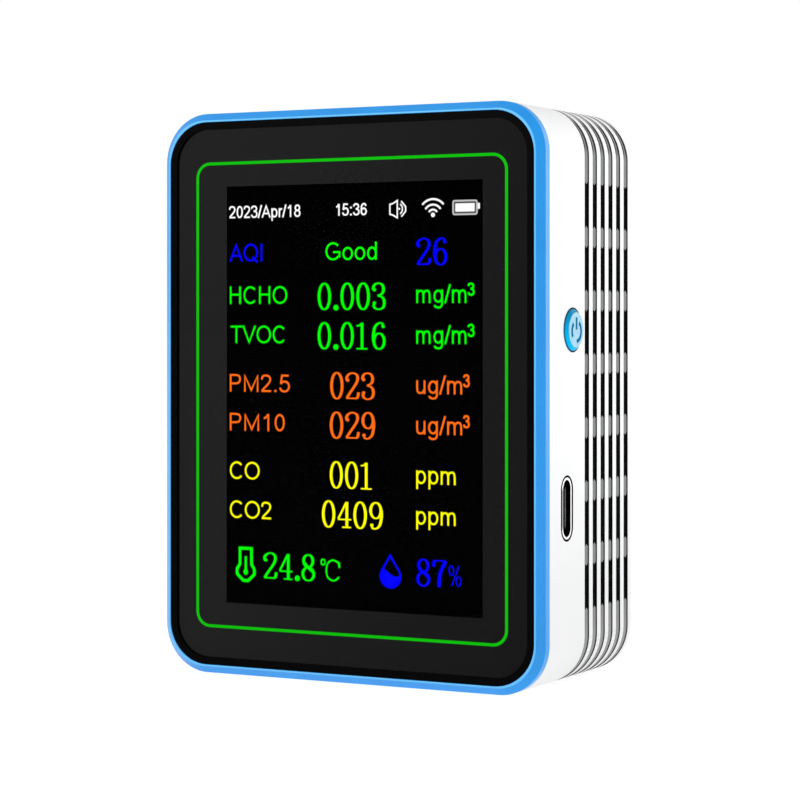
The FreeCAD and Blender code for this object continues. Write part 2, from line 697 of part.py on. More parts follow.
def make_front_window():
    """Clear lens with a step round its face for the trim ring."""
    body = new_body("front_window")
    face = front_sketch(body, "face", behind_front("window_recess"))
    add_rounded_rectangle(
        face, f"{OPENING_WIDTH} - 2 * trim_width", f"{OPENING_HEIGHT} - 2 * trim_width", "window_radius"
    )
    pad_back(body, face, "window_step")
    base = front_sketch(body, "base", behind_front("window_recess", "window_step"))
    add_outline(base, OPENING_WIDTH, OPENING_HEIGHT, "opening_radius", "window_play")
    pad_back(body, base, "window_thickness - window_step")


def make_window_mask():
    """Printed film behind the window, clear over the display."""
    body = new_body("window_mask")
    film = front_sketch(body, "film", behind_front("window_recess", "window_thickness", "mask_glue"))
    add_outline(film, OPENING_WIDTH, OPENING_HEIGHT, "opening_radius", "window_play + mask_margin")
    add_rounded_rectangle(film, "aperture_width", "aperture_height", "aperture_radius")
    pad_back(body, film, "mask_thickness")


def make_window_tape():
    """Foam tape between the film and the frame's ledge."""
    body = new_body("window_tape")
    top = behind_front("window_recess", "window_thickness", "mask_glue", "mask_thickness")
    tape = front_sketch(body, "tape", top)
    margin = "window_play + mask_margin"
    add_outline(tape, OPENING_WIDTH, OPENING_HEIGHT, "opening_radius", margin)
    add_outline(tape, OPENING_WIDTH, OPENING_HEIGHT, "opening_radius", f"{margin} + tape_width")
    pad_back(body, tape, "ledge_depth - window_recess - window_thickness - mask_glue - mask_thickness")


def add_box(name, x, y, z, along_x, along_y, along_z):
    """A box: middle x and z, front y, and its three sizes, all formulas."""
    box = doc.addObject("Part::Box", name)
    bind(box, "Length", along_x)
    bind(box, "Width", along_y)
    bind(box, "Height", along_z)
    bind(box, "Placement.Base.x", f"({x}) - ({along_x}) / 2")
    bind(box, "Placement.Base.y", y)
    bind(box, "Placement.Base.z", f"({z}) - ({along_z}) / 2")
    return box


LCD_FRONT = behind_front("window_recess", "window_thickness", "mask_glue", "mask_thickness", "lcd_gap")


def make_display():
    """Display glass and backlight in a steel tray, with the tape that holds the tray to the board."""
    glass = add_box("lcd_panel", "0", LCD_FRONT, MIDDLE, "lcd_width", "lcd_thickness", "lcd_height")
    add_part("lcd_panel", glass)
    light_front = f"{LCD_FRONT} + lcd_thickness"
    light = add_box(
        "backlight_unit", "0", light_front, MIDDLE, "lcd_width", "backlight_thickness", "lcd_height",
    )
    add_part("backlight_unit", light)
    tray_depth = "backlight_thickness + frame_sheet"
    outer = add_box("tray_outside", "0", light_front, MIDDLE, "frame_width", tray_depth, "frame_height")
    inner_width = "frame_width - 2 * frame_sheet"
    inner_height = "frame_height - 2 * frame_sheet"
    inner = add_box(
        "tray_inside", "0", light_front, MIDDLE, inner_width, "backlight_thickness", inner_height,
    )
    tray = doc.addObject("Part::Cut", "display_frame")
    tray.Base = outer
    tray.Tool = inner
    add_part("display_frame", tray)
    tray_back = f"{light_front} + {tray_depth}"
    gap = f"board_back - board_thickness - ({tray_back})"
    pad = add_box(
        "display_tape", "0", tray_back, MIDDLE, "display_tape_width", gap, "display_tape_height",
    )
    add_part("display_tape", pad)


def make_display_flex():
    """Ribbon that folds round the board's lower edge, from the display's back to its connector."""
    body = new_body("display_flex")
    tray_back = f"{LCD_FRONT} + lcd_thickness + backlight_thickness + frame_sheet"
    board_back, near, thickness = value_of("board_back"), value_of(tray_back), value_of("flex_thickness")
    sketch = side_sketch(body, "ribbon", "-flex_width / 2", "0", "0")
    middle = (board_back + near + thickness) / 2
    outer = middle - near
    inner = outer - thickness
    top, bend, end = value_of("flex_top"), value_of("flex_bend_z"), value_of("flex_end")
    edges = [
        line(sketch, middle - outer, top, middle - outer, bend),
        arc(sketch, middle, bend, outer, 180, 360),
        line(sketch, middle + outer, bend, middle + outer, end),
        line(sketch, middle + outer, end, middle + inner, end),
        line(sketch, middle + inner, end, middle + inner, bend),
        arc(sketch, middle, bend, inner, 180, 360),
        line(sketch, middle - inner, bend, middle - inner, top),
        line(sketch, middle - inner, top, middle - outer, top),
    ]
    for edge in edges:
        sketch.addConstraint(Sketcher.Constraint("Block", edge))
    pad_out(body, sketch, "flex_width")
    connector_z = "flex_end + connector_height / 2"
    connector = add_box(
        "flex_connector", "0", "board_back", connector_z,
        "flex_width", "connector_tall", "connector_height",
    )
    add_part("flex_connector", connector)


# --- board and what it carries -----------------------------------------------------------------


def make_main_board():
    """Main board, with a hole for each of its screws."""
    body = new_body("main_board")
    outline = front_sketch(body, "board", "board_back - board_thickness")
    add_rounded_rectangle(outline, "board_width", "board_height", "board_corner")
    add_four_circles(outline, "board_hole_radius", "board_screw_x", "board_screw_z")
    pad_back(body, outline, "board_thickness")


def make_board_screws():
    """Four small screws through the board into the frame's posts."""
    body = new_body("board_screws")
    body.AllowCompound = True
    shanks = front_sketch(body, "board_shanks", "board_back - board_screw_length")
    add_four_circles(shanks, "board_screw_radius", "board_screw_x", "board_screw_z")
    pad_back(body, shanks, "board_screw_length")
    heads = front_sketch(body, "board_heads", "board_back")
    add_four_circles(heads, "board_screw_head_radius", "board_screw_x", "board_screw_z")
    pad_back(body, heads, "board_screw_head")


def add_pin(name, x, y, z, radius, length):
    """A cylinder along +Y from the formula y."""
    pin = doc.addObject("Part::Cylinder", name)
    bind(pin, "Radius", radius)
    bind(pin, "Height", length)
    pin.Placement = FreeCAD.Placement(V(0, 0, 0), FreeCAD.Rotation(V(1, 0, 0), -90))
    bind(pin, "Placement.Base.x", x)
    bind(pin, "Placement.Base.y", y)
    bind(pin, "Placement.Base.z", z)
    return pin


def make_board_parts():
    """Sensors, chips, the wireless module and the buzzer, all standing on the board's back."""
    for name in BOARD_BOXES:
        width, height, tall, x, z = (f"{name}_{key}" for key in BOX_SIZES)
        add_part(name, add_box(name, x, "board_back", z, width, tall, height))
    for name in BOARD_CYLINDERS:
        radius, tall, x, z = (f"{name}_{key}" for key in CYLINDER_SIZES)
        add_part(name, add_pin(name, x, "board_back", z, radius, tall))
    shield = add_box(
        "wireless_shield", "wireless_module_x", "board_back + wireless_module_tall",
        "wireless_module_z - antenna_height / 2", "wireless_module_width - 2 * shield_inset", "shield_tall",
        "wireless_module_height - antenna_height - 2 * shield_inset",
    )
    add_part("wireless_shield", shield)


# --- button and port --------------------------------------------------------------------------


def make_power_button():
    """Round cap with a bevelled edge, a retaining flange inside the wall and a stem."""
    body = new_body("power_button")
    flange = side_sketch(body, "flange", "button_inner", "button_y", "button_z")
    add_circle(flange, "flange_radius")
    pad_out(body, flange, "flange_thickness")
    cap = side_sketch(body, "cap", "button_inner", "button_y", "button_z")
    add_circle(cap, "button_radius")
    top = pad_out(body, cap, f"{SIDE} + button_proud - button_inner")
    dress(body, "Chamfer", top, [face_at(top, "X", True)], "Size", "button_bevel")
    stem = side_sketch(body, "stem", "stem_end", "button_y", "button_z")
    add_circle(stem, "stem_radius")
    pad_out(body, stem, "button_inner - stem_end")


def make_switch():
    """Right-angle tact switch on the board, with its plunger in a blind bore."""
    plunger = new_body("switch_plunger")
    tip = side_sketch(plunger, "plunger", "stem_end - plunger_length", "button_y", "button_z")
    add_circle(tip, "plunger_radius")
    pad_out(plunger, tip, "plunger_length")
    block = add_box(
        "switch_block", "switch_face - switch_depth / 2", "board_back", "button_z",
        "switch_depth", "switch_tall", "switch_height",
    )
    bore = doc.addObject("Part::Cylinder", "switch_bore_tool")
    bind(bore, "Radius", "plunger_radius + plunger_gap")
    bind(bore, "Height", "switch_bore * 2")
    bore.Placement = FreeCAD.Placement(V(0, 0, 0), FreeCAD.Rotation(V(0, 1, 0), 90))
    bind(bore, "Placement.Base.x", "switch_face - switch_bore")
    bind(bore, "Placement.Base.y", "button_y")
    bind(bore, "Placement.Base.z", "button_z")
    switch = doc.addObject("Part::Cut", "switch_body")
    switch.Base = block
    switch.Tool = bore
    add_part("switch_body", switch)


def make_charging_port():
    """Metal shell of the receptacle, closed at its inner end, and the tongue inside it."""
    rim = f"{SIDE} - port_sink"
    body = new_body("charging_port_shell")
    outside = side_sketch(body, "port_outside", f"{rim} - port_depth", "port_y", "port_z")
    add_stadium(outside, "port_length", "port_width")
    pad_out(body, outside, "port_depth")
    mouth = side_sketch(body, "port_mouth", rim, "port_y", "port_z")
    add_stadium(mouth, "port_length - 2 * port_wall", "port_width - 2 * port_wall")
    cut_in(body, mouth, "port_depth - port_back")
    tongue_depth = "port_depth - port_back - tongue_sink"
    tongue = add_box(
        "charging_port_tongue", f"{rim} - tongue_sink - ({tongue_depth}) / 2",
        "port_y - tongue_thickness / 2", "port_z", tongue_depth, "tongue_thickness", "tongue_length",
    )
    add_part("charging_port_tongue", tongue)


# --- battery ----------------------------------------------------------------------------------


BATTERY_BACK = f"{BACK} - wall - battery_tape_thickness"


def make_battery():
    """Pouch cell taped to the back wall, with its plug and socket."""
    body = new_body("battery")
    pouch = front_sketch(body, "pouch", f"{BATTERY_BACK} - battery_thickness", "battery_x", "battery_z")
    add_rounded_rectangle(pouch, "battery_width", "battery_height", "battery_round")
    cell = pad_back(body, pouch, "battery_thickness")
    dress(body, "Fillet", cell, [face_at(cell, "Y", False)], "Radius", "battery_round")
    tape = add_box(
        "battery_tape", "battery_x", BATTERY_BACK, "battery_z",
        "battery_width / 2", "battery_tape_thickness", "battery_height / 2",
    )
    add_part("battery_tape", tape)
    socket = add_box(
        "battery_socket", "plug_x", "board_back", "plug_z",
        "plug_width", "socket_tall", "plug_height",
    )
    add_part("battery_socket", socket)
    plug = add_box(
        "battery_plug", "plug_x", "board_back + socket_tall", "plug_z",
        "plug_width", "plug_tall", "plug_height",
    )
    add_part("battery_plug", plug)


def make_lead(name, side):
    """One battery wire: out of the cell along +X, one wide bend, then forward into the plug."""
    radius, bend = value_of("lead_radius"), value_of("lead_bend")
    z = value_of("plug_z") + side * value_of("lead_spacing") / 2
    start = V(value_of("battery_x + battery_width / 2"), value_of("lead_y"), z)
    corner = V(value_of("plug_x"), start.y, z)
    end = V(corner.x, value_of("board_back + socket_tall + plug_tall"), z)
    bend_start = corner - V(bend, 0, 0)
    bend_end = corner - V(0, bend, 0)
    inward = bend * (1 - math.sqrt(0.5))
    middle = corner - V(inward, inward, 0)
    path = Part.Wire([
        Part.LineSegment(start, bend_start).toShape(),
        Part.Arc(bend_start, middle, bend_end).toShape(),
        Part.LineSegment(bend_end, end).toShape(),
    ])
    section = Part.Wire([Part.Circle(start, V(1, 0, 0), radius).toShape()])
    wire = doc.addObject("Part::Feature", name)
    wire.Shape = path.makePipeShell([section], True, False)
    wire.Placement = FreeCAD.Placement()
    expected = math.pi * radius ** 2 * path.Length
    if abs(wire.Shape.Volume - expected) > 0.02 * expected:
        raise RuntimeError(f"{name} has volume {wire.Shape.Volume:.3f}, not {expected:.3f}")
    add_part(name, wire)


# --- particle sensor --------------------------------------------------------------------------


def make_particle_sensor():
    """Box open at the back, and its lid with an air hole over the fan."""
    box_depth = "sensor_depth - sensor_wall"
    outside = add_box(
        "sensor_outside", "sensor_x", "sensor_front", "sensor_z",
        "sensor_width", box_depth, "sensor_height",
    )
    inside = add_box(
        "sensor_inside", "sensor_x", "sensor_front + sensor_wall", "sensor_z",
        "sensor_width - 2 * sensor_wall", "sensor_depth", "sensor_height - 2 * sensor_wall",
    )
    case = doc.addObject("Part::Cut", "particle_sensor_case")
    case.Base = outside
    case.Tool = inside
    add_part("particle_sensor_case", case)
    lid_front = f"sensor_front + {box_depth}"
    plate = add_box(
        "lid_plate", "sensor_x", lid_front, "sensor_z",
        "sensor_width", "sensor_wall", "sensor_height",
    )
    hole_front = f"{lid_front} - sensor_wall"
    hole = add_pin("lid_hole", "fan_x", hole_front, "fan_z", "fan_port_radius", "3 * sensor_wall")
    lid = doc.addObject("Part::Cut", "particle_sensor_lid")
    lid.Base = plate
    lid.Tool = hole
    add_part("particle_sensor_lid", lid)


def make_fan():
    """Stator with its shaft on the sensor's floor, and the rotor that turns on the shaft."""
    floor = "sensor_front + sensor_wall"
    stator = new_body("sensor_fan_stator")
    disc = front_sketch(stator, "stator_disc", floor, "fan_x", "fan_z")
    add_circle(disc, "stator_radius")
    pad_back(stator, disc, "stator_thickness")
    shaft = front_sketch(stator, "stator_shaft", floor, "fan_x", "fan_z")
    add_circle(shaft, "fan_shaft_radius")
    pad_back(stator, shaft, "fan_lift + fan_depth")
    rotor = new_body("sensor_fan_rotor")
    hub_front = f"{floor} + fan_lift"
    hub = front_sketch(rotor, "hub", hub_front, "fan_x", "fan_z")
    add_circle(hub, "fan_hub_radius")
    pad_back(rotor, hub, "fan_depth")
    blade_middle = "fan_x + (fan_hub_radius + fan_radius - fan_blade_root) / 2"
    blade = front_sketch(rotor, "blade", hub_front, blade_middle, "fan_z")
    blade_length = "fan_radius - fan_hub_radius + fan_blade_root"
    add_rounded_rectangle(blade, blade_length, "fan_blade_thickness", "fan_blade_round")
    first_blade = pad_back(rotor, blade, "fan_depth")
    ring = rotor.newObject("PartDesign::PolarPattern", "blades")
    ring.Originals = [first_blade]
    ring.Axis = (hub, ["N_Axis"])
    ring.Angle = 360
    bind(ring, "Occurrences", "fan_blades")
    rotor.Tip = ring
    doc.recompute()
    bore = front_sketch(rotor, "hub_bore", f"{hub_front} - fan_depth / 2", "fan_x", "fan_z")
    add_circle(bore, "fan_shaft_radius + fan_shaft_gap")
    cut_back(rotor, bore, "fan_depth * 2")


def check_and_write():
    """Stops at any failed object or bad shape, then writes one STEP file for each node."""
    doc.recompute()
    for thing in doc.Objects:
        if "Invalid" in thing.State or "Error" in thing.State:
            raise RuntimeError(f"{thing.Name} failed: {thing.State}")
    for name, thing in parts.items():
        if thing.Shape.isNull() or not thing.Shape.isValid() or not thing.Shape.Solids:
            raise RuntimeError(f"{name} has no valid solid")
    os.makedirs("parts", exist_ok=True)
    for name, thing in sorted(parts.items()):
        thing.Shape.exportStep(f"parts/{name}.step")
        print(f"{name}: {len(thing.Shape.Solids)} solid(s), {thing.Shape.Volume:.1f} mm3")


fill_sheet()
make_front_bezel()
make_window_trim()
make_front_window()
make_window_mask()
make_window_tape()
make_display()
make_display_flex()
make_main_board()
make_board_screws()
make_board_parts()
make_power_button()
make_switch()
make_charging_port()
make_battery()
make_lead("battery_lead_red", 1)
make_lead("battery_lead_black", -1)
make_particle_sensor()
make_fan()
make_filters()
make_rear_shell()
make_case_screws()
check_and_write()
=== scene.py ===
"""Looks of a desk air quality monitor: a blue frame round a dark, lit window, on a white case."""

import json
import math

import bmesh
import bpy
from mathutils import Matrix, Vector


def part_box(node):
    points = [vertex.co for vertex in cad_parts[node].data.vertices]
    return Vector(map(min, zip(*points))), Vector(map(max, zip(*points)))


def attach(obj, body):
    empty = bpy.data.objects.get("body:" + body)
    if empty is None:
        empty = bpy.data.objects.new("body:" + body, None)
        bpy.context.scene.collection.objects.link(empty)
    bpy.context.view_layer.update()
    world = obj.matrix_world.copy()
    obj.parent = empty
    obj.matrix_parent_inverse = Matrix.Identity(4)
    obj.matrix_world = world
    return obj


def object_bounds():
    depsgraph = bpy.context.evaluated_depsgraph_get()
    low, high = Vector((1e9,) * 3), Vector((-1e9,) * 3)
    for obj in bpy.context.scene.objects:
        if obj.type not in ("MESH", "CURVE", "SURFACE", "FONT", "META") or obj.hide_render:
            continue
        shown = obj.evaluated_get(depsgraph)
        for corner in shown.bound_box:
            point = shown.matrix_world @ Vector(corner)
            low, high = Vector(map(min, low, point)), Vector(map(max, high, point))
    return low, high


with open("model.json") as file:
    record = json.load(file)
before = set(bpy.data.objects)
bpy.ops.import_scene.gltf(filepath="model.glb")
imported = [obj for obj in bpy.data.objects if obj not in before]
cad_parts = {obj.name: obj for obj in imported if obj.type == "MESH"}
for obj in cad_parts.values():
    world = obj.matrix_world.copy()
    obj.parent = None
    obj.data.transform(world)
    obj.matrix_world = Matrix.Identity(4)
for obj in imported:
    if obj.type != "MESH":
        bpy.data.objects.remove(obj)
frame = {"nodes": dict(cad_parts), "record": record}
cad_low, cad_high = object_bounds()

MM = 0.001
ROOT = "case"

# ---- Places read from the frame, in millimetres ----


def box_mm(node):
    """Lowest and highest corner of a CAD node, in millimetres."""
    low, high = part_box(node)
    return low / MM, high / MM


case_low, case_high = box_mm("rear_shell")
window_low, window_high = box_mm("front_window")
screen_low, _ = box_mm("lcd_panel")
button_low, button_high = box_mm("power_button")
tongue_low, tongue_high = box_mm("charging_port_tongue")
_, port_high = box_mm("charging_port_shell")
bezel_low, _ = box_mm("front_bezel")

CENTRE_Z = (case_low.z + case_high.z) / 2
WINDOW_FACE = window_low.y
BEZEL_FACE = bezel_low.y
SCREEN_FACE = screen_low.y
BUTTON_FACE = button_high.x
BUTTON_Y = (button_low.y + button_high.y) / 2
BUTTON_Z = (button_low.z + button_high.z) / 2


# ---- Flat shapes: lines and outlines in a plane, given as (across, up) in mm ----


def on_window(across, up, out):
    return Vector((across, WINDOW_FACE - out, up)) * MM


def on_screen(across, up, out):
    return Vector((across, SCREEN_FACE - out, up)) * MM


def on_button(across, up, out):
    return Vector((BUTTON_FACE + out, BUTTON_Y + across, BUTTON_Z + up)) * MM


def curved(points, steps=5):
    """A smooth line through a few points."""
    last = len(points) - 1
    line = []
    for i in range(last):
        a, b, c, d = (Vector(points[min(max(i + k, 0), last)]) for k in (-1, 0, 1, 2))
        for step in range(steps):
            t = step / steps
            slope = (c - a) * t
            bend = (2 * a - 5 * b + 4 * c - d) * t**2
            twist = (3 * b - a - 3 * c + d) * t**3
            line.append(b + (slope + bend + twist) / 2)
    line.append(Vector(points[-1]))
    return line


def arc(centre, radius, start, end, steps=16, stretch=1.0):
    """Points of an arc. Angles are in degrees, anticlockwise from the right."""
    line = []
    for i in range(steps + 1):
        angle = math.radians(start + (end - start) * i / steps)
        across = centre[0] + radius * math.cos(angle)
        up = centre[1] + radius * stretch * math.sin(angle)
        line.append(Vector((across, up)))
    return line


def ring(centre, radius, stretch=1.0, steps=32):
    """Points of a closed round or oval line."""
    return arc(centre, radius, 0, 360, steps, stretch)[:-1]


def rounded(left, right, low, high, radius, steps=6):
    """Outline of a rectangle with rounded corners."""
    line = []
    corners = ((right, high, 0), (left, high, 90), (left, low, 180), (right, low, 270))
    for across, up, start in corners:
        inward = Vector((-1 if across == right else 1, -1 if up == high else 1)) * radius
        centre = Vector((across, up)) + inward
        line += arc(centre, radius, start, start + 90, steps)
    return line


def sides_of(line, width, closed):
    """The two edges of a stroke. width is a number, or a rule that takes the direction."""
    count = len(line)
    left, right = [], []
    for i, point in enumerate(line):
        before = line[i - 1] if closed or i > 0 else None
        after = line[(i + 1) % count] if closed or i < count - 1 else None
        into = (point - before).normalized() if before is not None else (after - point).normalized()
        out = (after - point).normalized() if after is not None else into
        along = (into + out).normalized() if (into + out).length > 1e-6 else into
        normal = Vector((-along.y, along.x))
        spread = 1 / max(0.5, along.dot(out))
        half = (width(along) if callable(width) else width) / 2 * spread
        left.append(point + normal * half)
        right.append(point - normal * half)
    return left, right


def add_stroke(bm, plane, line, width, depth, closed=False):
    """A closed band of even thickness along a line."""
    line = [Vector(p) for p in line]
    left, right = sides_of(line, width, closed)
    near, far = depth
    rows = []
    for a, b in zip(left, right):
        corners = ((a, far), (b, far), (b, near), (a, near))
        rows.append([bm.verts.new(plane(p.x, p.y, d)) for p, d in corners])
    spans = len(rows) if closed else len(rows) - 1
    for i in range(spans):
        one, two = rows[i], rows[(i + 1) % len(rows)]
        for k in range(4):
            bm.faces.new((one[k], one[(k + 1) % 4], two[(k + 1) % 4], two[k]))
    if not closed:
        bm.faces.new(rows[0])
        bm.faces.new(rows[-1])


def add_plate(bm, plane, outline, depth):
    """A closed plate with a given outline."""
    near, far = depth
    front = [bm.verts.new(plane(p[0], p[1], far)) for p in outline]
    back = [bm.verts.new(plane(p[0], p[1], near)) for p in outline]
    bm.faces.new(front)
    bm.faces.new(back)
    for i in range(len(outline)):
        j = (i + 1) % len(outline)
        bm.faces.new((front[i], front[j], back[j], back[i]))


def finish_piece(name, mesh, material, body=ROOT):
    """Makes a mesh a named piece of the object, which rides on a body."""
    piece = bpy.data.objects.new(name, mesh)
    bpy.context.scene.collection.objects.link(piece)
    mesh.materials.append(material)
    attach(piece, body)


def mesh_from(name, bm):
    bmesh.ops.recalc_face_normals(bm, faces=bm.faces)
    mesh = bpy.data.meshes.new(name)
    bm.to_mesh(mesh)
    bm.free()
    return mesh


# ---- Material toolkit: every pattern works in object coordinates, in millimetres ----


class Recipe:
    """A Principled material, and short calls that add the nodes of its patterns."""

    def __init__(self, name, roughness=0.5, metallic=0.0, specular=0.5):
        self.material = bpy.data.materials.new(name)
        self.material.use_nodes = True
        self.tree = self.material.node_tree
        self.tree.nodes.clear()
        self.shader = self.add("BsdfPrincipled")
        output = self.add("OutputMaterial")
        self.tree.links.new(self.shader.outputs["BSDF"], output.inputs["Surface"])
        self.shader.inputs["Roughness"].default_value = roughness
        self.shader.inputs["Metallic"].default_value = metallic
        self.shader.inputs["Specular IOR Level"].default_value = specular
        place = self.add("TexCoord")
        self.where = self.vector("MULTIPLY", place.outputs["Object"], (1000, 1000, 1000))

    def add(self, kind):
        return self.tree.nodes.new("ShaderNode" + kind)

    def give(self, socket, value):
        """Links a socket or sets a constant."""
        if isinstance(value, bpy.types.NodeSocket):
            self.tree.links.new(value, socket)
        elif value is not None:
            socket.default_value = value

    def vector(self, operation, one, two):
        node = self.add("VectorMath")
        node.operation = operation
        self.give(node.inputs[0], one)
        self.give(node.inputs[1], two)
        return node.outputs["Vector"]

    def math(self, operation, one, two=None, clamp=False):
        node = self.add("Math")
        node.operation = operation
        node.use_clamp = clamp
        self.give(node.inputs[0], one)
        self.give(node.inputs[1], two)
        return node.outputs["Value"]

    def times(self, one, two):
        return self.math("MULTIPLY", one, two)

    def minus(self, one, two):
        return self.math("SUBTRACT", one, two)

    def length(self, one, two):
        """Distance over two steps at right angles."""
        squares = self.math("ADD", self.times(one, one), self.times(two, two))
        return self.math("SQRT", squares)

    def parts(self):
        """X, Y and Z of the place."""
        node = self.add("SeparateXYZ")
        self.give(node.inputs[0], self.where)
        return node.outputs["X"], node.outputs["Y"], node.outputs["Z"]

    def noise(self, scale, detail=3.0, stretch=(1, 1, 1), roughness=0.5):
        node = self.add("TexNoise")
        where = self.vector("MULTIPLY", self.where, stretch)
        self.give(node.inputs["Vector"], where)
        node.inputs["Scale"].default_value = scale
        node.inputs["Detail"].default_value = detail
        node.inputs["Roughness"].default_value = roughness
        return node.outputs["Fac"]

    def cells(self, scale, feature="F1", randomness=1.0):
        node = self.add("TexVoronoi")
        node.feature = feature
        self.give(node.inputs["Vector"], self.where)
        node.inputs["Scale"].default_value = scale
        node.inputs["Randomness"].default_value = randomness
        return node.outputs["Distance"]

    def stripes(self, value, pitch):
        """A smooth 0 to 1 wave along one coordinate, one wave a pitch."""
        wave = self.math("SINE", self.times(value, 2 * math.pi / pitch))
        return self.math("ADD", self.times(wave, 0.5), 0.5)

    def between(self, value, low, high):
        """Maps low..high to 0..1, with soft ends."""
        node = self.add("MapRange")
        node.interpolation_type = "SMOOTHSTEP"
        self.give(node.inputs["Value"], value)
        node.inputs["From Min"].default_value = low
        node.inputs["From Max"].default_value = high
        return node.outputs["Result"]

    def ramp(self, value, stops):
        """A colour ramp. stops are (place, colour)."""
        node = self.add("ValToRGB")
        self.give(node.inputs["Fac"], value)
        elements = node.color_ramp.elements
        while len(elements) < len(stops):
            elements.new(0.5)
        for element, (place, colour) in zip(elements, stops):
            element.position = place
            element.color = (*colour, 1)
        return node.outputs["Color"]

    def cloudy(self, scale, detail, dark, light, edge=0.3):
        """Noise that drifts between two colours."""
        return self.ramp(self.noise(scale, detail), [(edge, dark), (1 - edge, light)])

    def blend(self, share, one, two):
        """one where share is 0, two where share is 1."""
        node = self.add("Mix")
        node.data_type = "RGBA"
        self.give(node.inputs["Factor"], share)
        for socket, value in ((node.inputs[6], one), (node.inputs[7], two)):
            self.give(socket, value if isinstance(value, bpy.types.NodeSocket) else (*value, 1))
        return node.outputs[2]

    def colour(self, value):
        self.give(self.shader.inputs["Base Color"], value)

    def light(self, colour, strength):
        """Light of its own."""
        self.give(self.shader.inputs["Emission Color"], colour)
        self.shader.inputs["Emission Strength"].default_value = strength

    def rough(self, value, low, high):
        """Roughness from low to high as value goes from 0 to 1."""
        span = self.times(value, high - low)
        self.give(self.shader.inputs["Roughness"], self.math("ADD", span, low))

    def relief(self, height, depth_mm, strength=1.0):
        """Bump of a given depth, on top of any earlier one."""
        node = self.add("Bump")
        node.inputs["Strength"].default_value = strength
        node.inputs["Distance"].default_value = depth_mm * MM
        self.give(node.inputs["Height"], height)
        normal = self.shader.inputs["Normal"]
        if normal.is_linked:
            self.tree.links.new(normal.links[0].from_socket, node.inputs["Normal"])
        self.tree.links.new(node.outputs["Normal"], normal)


def shade(colour, factor):
    return tuple(c * factor for c in colour)


# ---- Materials of the outside ----


def frame_blue():
    """Satin blue moulding with fine orange peel, and a painted highlight that makes the rim of its front
    paler.
    """
    m = Recipe("frame_blue", roughness=0.3, specular=0.45)
    blue = m.cloudy(0.12, 2, (0.003, 0.27, 0.74), (0.006, 0.295, 0.79), 0.35)
    _, y, _ = m.parts()
    # Painted highlight: the front rim is painted paler blue, standing in for the light it catches.
    lip_highlight = m.between(y, BEZEL_FACE + 0.06, BEZEL_FACE + 0.02)
    m.colour(m.blend(lip_highlight, blue, (0.10, 0.46, 0.88)))
    m.rough(m.noise(2.5, 4), 0.22, 0.38)
    m.relief(m.noise(2.2, 2), 0.006)
    m.relief(m.noise(14, 2), 0.0015)
    return m.material


# The case's corners, grooves and slots, as in the CAD, in mm. The ribbed part holds every groove,
# and the walls of the openings for the port and the button are painted black as shade, a little past their
# edges.
CORNER = 7.35
FLAT_HALF_WIDTH = case_high.x - CORNER
FLAT_HALF_HEIGHT = CENTRE_Z - CORNER
GROOVE_FIRST = -0.93
GROOVE_PITCH = 2.905
GROOVE_WIDTH = 1.6
GROOVE_DEPTH = 0.1
GROOVE_BACK = GROOVE_FIRST + GROOVE_WIDTH / 2
RIBBED_FRONT = -2.0
RIBBED_BACK = 14.5
SLOT_COUNT = 7
SLOT_PITCH = 9.33
SLOT_REACH = 3.57
SLOTS_HALF_HEIGHT = (SLOT_COUNT - 1) / 2 * SLOT_PITCH + SLOT_REACH
PORT_Y = (tongue_low.y + tongue_high.y) / 2
PORT_Z = (tongue_low.z + tongue_high.z) / 2
PORT_RIM = port_high.x
PORT_HALF_LENGTH = 2.665
PORT_RADIUS = 2.11
BUTTON_RADIUS = 3.24
# Colour of the painted shade in the slots and openings.
OPENING_SHADE = (0.002, 0.002, 0.002)
# Near-black colour of the painted shadow lines along the grooves' edges.
SHADOW_LINE_COLOUR = (0.004, 0.004, 0.004)


def depth_under_skin(m, x, z):
    """Distance in mm from the case's outer side wall, negative inside."""
    across = m.minus(m.math("ABSOLUTE", x), FLAT_HALF_WIDTH)
    up = m.minus(m.math("ABSOLUTE", m.minus(z, CENTRE_Z)), FLAT_HALF_HEIGHT)
    out_x = m.math("MAXIMUM", across, 0)
    out_z = m.math("MAXIMUM", up, 0)
    inner = m.math("MINIMUM", m.math("MAXIMUM", across, up), 0)
    return m.minus(m.math("ADD", m.length(out_x, out_z), inner), CORNER)


def beside_slots(m, x, z):
    """1 on the side walls at the heights of the slots, 0 elsewhere."""
    up = m.minus(z, CENTRE_Z)
    from_slot = m.math("PINGPONG", up, SLOT_PITCH / 2)
    level = m.between(from_slot, SLOT_REACH + 0.08, SLOT_REACH - 0.12)
    reach = m.between(m.math("ABSOLUTE", up), SLOTS_HALF_HEIGHT + 0.4, SLOTS_HALF_HEIGHT + 0.2)
    side = m.between(m.math("ABSOLUTE", x), case_high.x - 0.9, case_high.x - 0.7)
    return m.times(m.times(level, reach), side)


def opening_wall(m, x, y, z, middle, half_length, radius):
    """1 on the inside of an opening in the right wall, 0 elsewhere. Its long side is upright."""
    along = m.math("ABSOLUTE", m.minus(z, middle[1]))
    beyond = m.math("MAXIMUM", m.minus(along, half_length), 0)
    across = m.minus(y, middle[0])
    inside = m.between(m.length(beyond, across), radius + 0.04, radius + 0.01)
    return m.times(inside, m.between(x, case_high.x - 3.0, case_high.x - 2.5))


def groove_shadow_lines(m, y, z):
    """Where painted shadow lines darken a groove: 1 along the back edge of its floor, and along both edges
    near the top corners.
    """
    from_back = m.math("PINGPONG", m.minus(y, GROOVE_BACK), GROOVE_PITCH / 2)
    back_edge = m.between(from_back, 0.32, 0.22)
    place = m.minus(y, GROOVE_FIRST + 0.10)
    from_middle = m.math("PINGPONG", place, GROOVE_PITCH / 2)
    margin = m.between(from_middle, 0.12, 0.24)
    slots_top = CENTRE_Z + SLOTS_HALF_HEIGHT
    high = m.between(z, slots_top + 3.8, slots_top + 5.2)
    return m.math("MAXIMUM", back_edge, m.times(margin, high))


